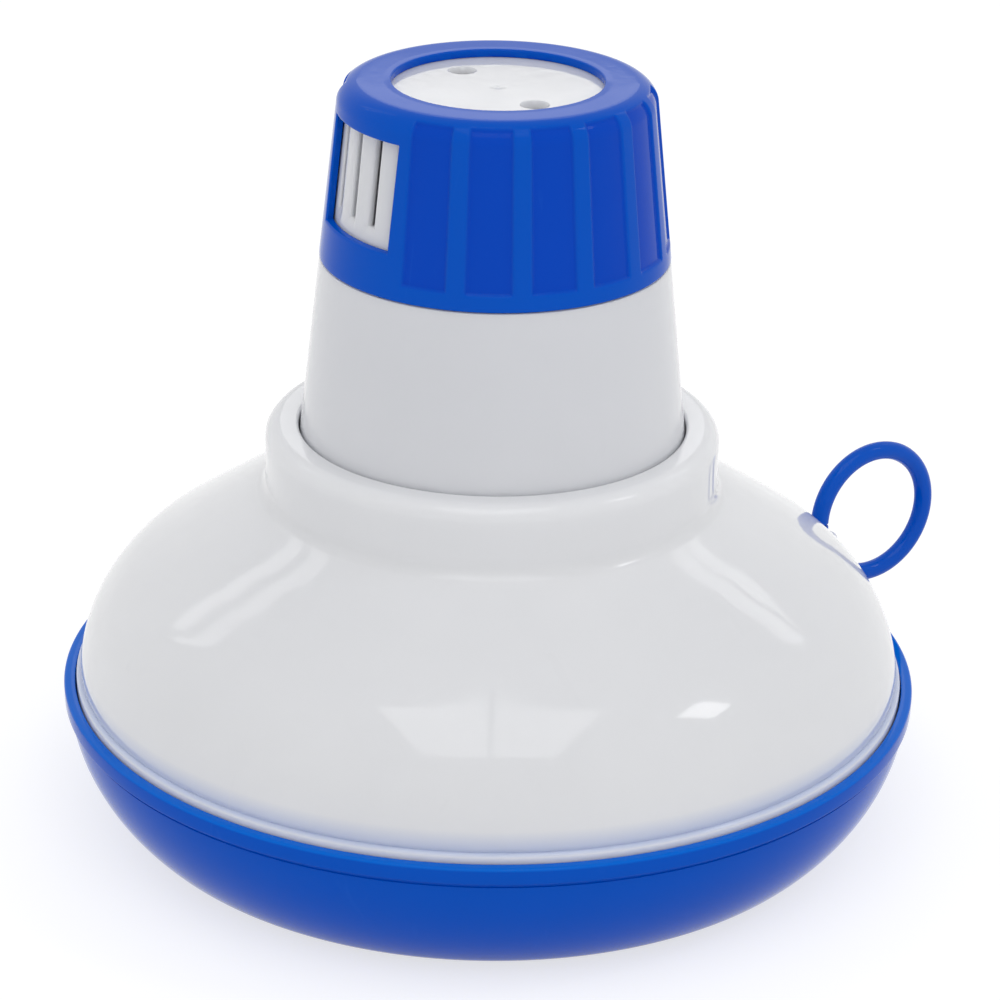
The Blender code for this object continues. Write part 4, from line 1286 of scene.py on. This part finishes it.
class DISPENSER_OT_ring(bpy.types.Operator):
    """Add the tether ring: a rod bent into a loop, with its butt joint just above the lug"""

    bl_idname = "dispenser.ring"
    bl_label = "Tether ring"

    def execute(self, context):
        """A round section carried along an open circle.

        A parting line stands a little proud along the inside and the outside of the loop, as
        proud * exp(-(distance / width)^2). The section shrinks to nothing at each end over a
        quarter round.
        """
        rod, loop = ring_radii()
        proud, line_width = 0.06 * MM, 0.16 * MM
        edge, half_gap = 0.5 * MM, 0.35 * MM
        quarter = np.radians(np.linspace(0, 90, 6))
        ends = np.concatenate([[0], edge * (1 - np.cos(quarter))]) / loop
        inset = np.concatenate([[rod], edge * (1 - np.sin(quarter))])
        sweep = TURN - 2 * half_gap / loop
        middle = np.linspace(ends[-1], sweep - ends[-1], 200)[1:-1]
        along = (math.pi + half_gap / loop
                 + np.concatenate([ends, middle, sweep - ends[::-1]])[:, None])
        thick = rod - proud - np.concatenate([inset, 0 * middle, inset[::-1]])[:, None]
        around = np.linspace(0, TURN, 48, endpoint=False)[None, :]
        off = rod * np.abs(np.mod(around + math.pi / 2, math.pi) - math.pi / 2)
        line = proud * np.exp(-(off / line_width) ** 2)
        thick = np.maximum(thick + line * (thick > rod / 2), 0)
        reach = loop + thick * np.cos(around)
        points = np.stack(np.broadcast_arrays(
            RING_CENTRE.x + reach * np.cos(along), RING_CENTRE.y + thick * np.sin(around),
            RING_CENTRE.z + reach * np.sin(along)), axis=-1)
        mesh = solid("ring_rod", [(points, cells(len(along), around.size))])
        add_piece("ring_rod", mesh, blue_plastic("ring_blue", specular=0.12), "ring",
                  "ring_blue", "tether_ring")
        return {"FINISHED"}


# ---------------------------------------------------------------------------------------------
# The studio


def seen_directly(tree):
    """1 for a ray from the camera, a reflection or a clear piece, and 0 for soft light."""
    path = node(tree, "ShaderNodeLightPath")
    glossy = maths(tree, "MAXIMUM", path.outputs["Is Camera Ray"], path.outputs["Is Glossy Ray"])
    return maths(tree, "MAXIMUM", glossy, path.outputs["Is Transmission Ray"])


def sky(world, studio):
    """Plain white where it is seen, and a soft light that is stronger from the sides."""
    world.use_nodes = True
    tree = world.node_tree
    tree.nodes.clear()
    direction = node(tree, "ShaderNodeTexCoord").outputs["Generated"]
    height = node(tree, "ShaderNodeSeparateXYZ", {0: direction}).outputs["Z"]
    strength = between(tree, height, 0.0, 0.9, studio.sky_side, studio.sky_top)
    soft = node(tree, "ShaderNodeBackground", {"Color": WHITE, "Strength": strength})
    plain = node(tree, "ShaderNodeBackground", {"Color": WHITE, "Strength": 1.0})
    mixed = node(tree, "ShaderNodeMixShader", {0: seen_directly(tree), 1: soft.outputs[0],
                                               2: plain.outputs[0]})
    node(tree, "ShaderNodeOutputWorld", {"Surface": mixed.outputs[0]})


def lamp(name, studio, place, target, size, watts):
    """A soft rectangular lamp, placed and aimed as if the camera stood towards minus y."""
    data = bpy.data.lights.new(name, "AREA")
    data.shape = "RECTANGLE"
    data.size, data.size_y = size
    data.energy = watts
    thing = linked(bpy.data.objects.new(name, data))
    thing.visible_camera = False
    bearing = Matrix.Rotation(studio.camera_azimuth, 4, "Z")
    aim = (Vector(target) - Vector(place)).to_track_quat("-Z", "Y").to_matrix().to_4x4()
    thing.matrix_world = bearing @ Matrix.Translation(place) @ aim


class DISPENSER_OT_studio(bpy.types.Operator):
    """Add the pale floor, the soft lights and the camera"""

    bl_idname = "dispenser.studio"
    bl_label = "Studio"

    def execute(self, context):
        """The floor is one flat square, 16 m wide, that the lamps and the sky light."""
        studio = context.scene.studio
        reach = 8.0
        corners = [(-reach, -reach, 0), (reach, -reach, 0), (reach, reach, 0), (-reach, reach, 0)]
        mesh = bpy.data.meshes.new("floor")
        mesh.from_pydata(corners, [], [(0, 1, 2, 3)])
        floor = linked(bpy.data.objects.new("floor", mesh))
        mesh.materials.append(self.floor_material(studio))
        context.scene.world = bpy.data.worlds.new("sky")
        sky(context.scene.world, studio)
        self.lamps(studio)
        context.scene.view_settings.view_transform = "Standard"
        self.camera(context, studio)
        return {"FINISHED"}

    def lamps(self, studio):
        """A ceiling panel of six tiles, one tile to its right, a lamp behind and four strips."""
        ceiling, away = 2.1, 3.0
        middle = (0, 0, 0.15)
        for x in (-0.362, 0.412):
            for y in (-1.605, -1.06, -0.515):
                lamp(f"ceiling {x} {y}", studio, (x, y, ceiling), (x, y, 0), (0.73, 0.53), 1.8)
        lamp("side", studio, (2.0, -0.24, ceiling), (2.0, -0.24, 0), (0.7, 0.45), 4.4)
        lamp("back", studio, (0, away, 1.85), middle, (1.0, 1.5), 3.6)
        strip_foot, strip_width, watts_per_metre = 1.9, 0.2, 0.75
        for degrees, tall in ((38.5, 1.1), (43.0, 1.1), (140.0, 1.5), (146.5, 1.5)):
            bearing = math.radians(degrees)
            place = (away * math.cos(bearing), away * math.sin(bearing), strip_foot + tall / 2)
            lamp(f"strip {degrees}", studio, place, middle, (strip_width, tall),
                 watts_per_metre * tall)

    def floor_material(self, studio):
        """A pale matt floor, lit white where it is seen and with the dispenser's shadow on it."""
        material = bpy.data.materials.new("floor")
        material.use_nodes = True
        tree = material.node_tree
        tree.nodes.clear()
        matt = node(tree, "ShaderNodeBsdfDiffuse", {"Color": opaque(WHITE[:3], studio.floor)})
        glow = node(tree, "ShaderNodeEmission", {"Color": WHITE, "Strength": studio.floor_glow})
        shaded = node(tree, "ShaderNodeBsdfDiffuse",
                      {"Color": opaque(WHITE[:3], studio.floor / 2)})
        lit = node(tree, "ShaderNodeAddShader", {0: shaded.outputs[0], 1: glow.outputs[0]})
        mixed = node(tree, "ShaderNodeMixShader", {0: seen_directly(tree), 1: matt.outputs[0],
                                                   2: lit.outputs[0]})
        node(tree, "ShaderNodeOutputMaterial", {"Surface": mixed.outputs[0]})
        return material

    def camera(self, context, studio):
        """A long lens, placed by its height and its level distance and azimuth from the axis."""
        data = bpy.data.cameras.new("camera")
        data.lens, data.sensor_width = studio.lens, 36.0
        data.clip_start, data.clip_end = 0.05, 50.0
        camera = linked(bpy.data.objects.new("camera", data))
        place = Matrix.Rotation(studio.camera_azimuth, 4, "Z") @ Vector(
            (0, -studio.camera_distance, studio.camera_height))
        camera.matrix_world = (
            Matrix.Translation(place)
            @ Matrix.Rotation(studio.camera_azimuth + studio.camera_pan, 4, "Z")
            @ Matrix.Rotation(math.pi / 2 - studio.camera_pitch, 4, "X")
            @ Matrix.Rotation(studio.camera_roll, 4, "Z"))
        context.scene.camera = camera


# ---------------------------------------------------------------------------------------------
# The add-on

STEPS = (
    DISPENSER_OT_bowl, DISPENSER_OT_shell, DISPENSER_OT_gasket, DISPENSER_OT_seal,
    DISPENSER_OT_canister, DISPENSER_OT_sleeve, DISPENSER_OT_ring, DISPENSER_OT_studio,
)


class DISPENSER_PT_panel(bpy.types.Panel):
    """Lists the dispenser's pieces and their sizes"""

    bl_label = "Chlorine Dispenser"
    bl_idname = "DISPENSER_PT_panel"
    bl_space_type = "VIEW_3D"
    bl_region_type = "UI"
    bl_category = "Dispenser"

    def draw(self, context):
        """A button for each piece, and a box of sizes for each group."""
        for step in STEPS:
            self.layout.operator(step.bl_idname)
        for name, group in GROUPS.items():
            box = self.layout.box()
            box.label(text=name.replace("_", " ").capitalize())
            for field in group.__annotations__:
                box.prop(getattr(context.scene, name), field)


def register():
    """Add the classes, and give the scene its groups of sizes."""
    for cls in (*GROUPS.values(), *STEPS, DISPENSER_PT_panel):
        bpy.utils.register_class(cls)
    for name, group in GROUPS.items():
        setattr(bpy.types.Scene, name, PointerProperty(type=group))


def unregister():
    """Take away what register adds."""
    for name in GROUPS:
        delattr(bpy.types.Scene, name)
    for cls in (DISPENSER_PT_panel, *reversed(STEPS), *reversed(list(GROUPS.values()))):
        bpy.utils.unregister_class(cls)


def main():
    """Build every piece and the studio."""
    register()
    bpy.ops.dispenser.bowl()
    bpy.ops.dispenser.shell()
    bpy.ops.dispenser.gasket()
    bpy.ops.dispenser.seal()
    bpy.ops.dispenser.canister()
    bpy.ops.dispenser.sleeve()
    bpy.ops.dispenser.ring()
    bpy.ops.dispenser.studio()


if __name__ == "__main__":
    main()
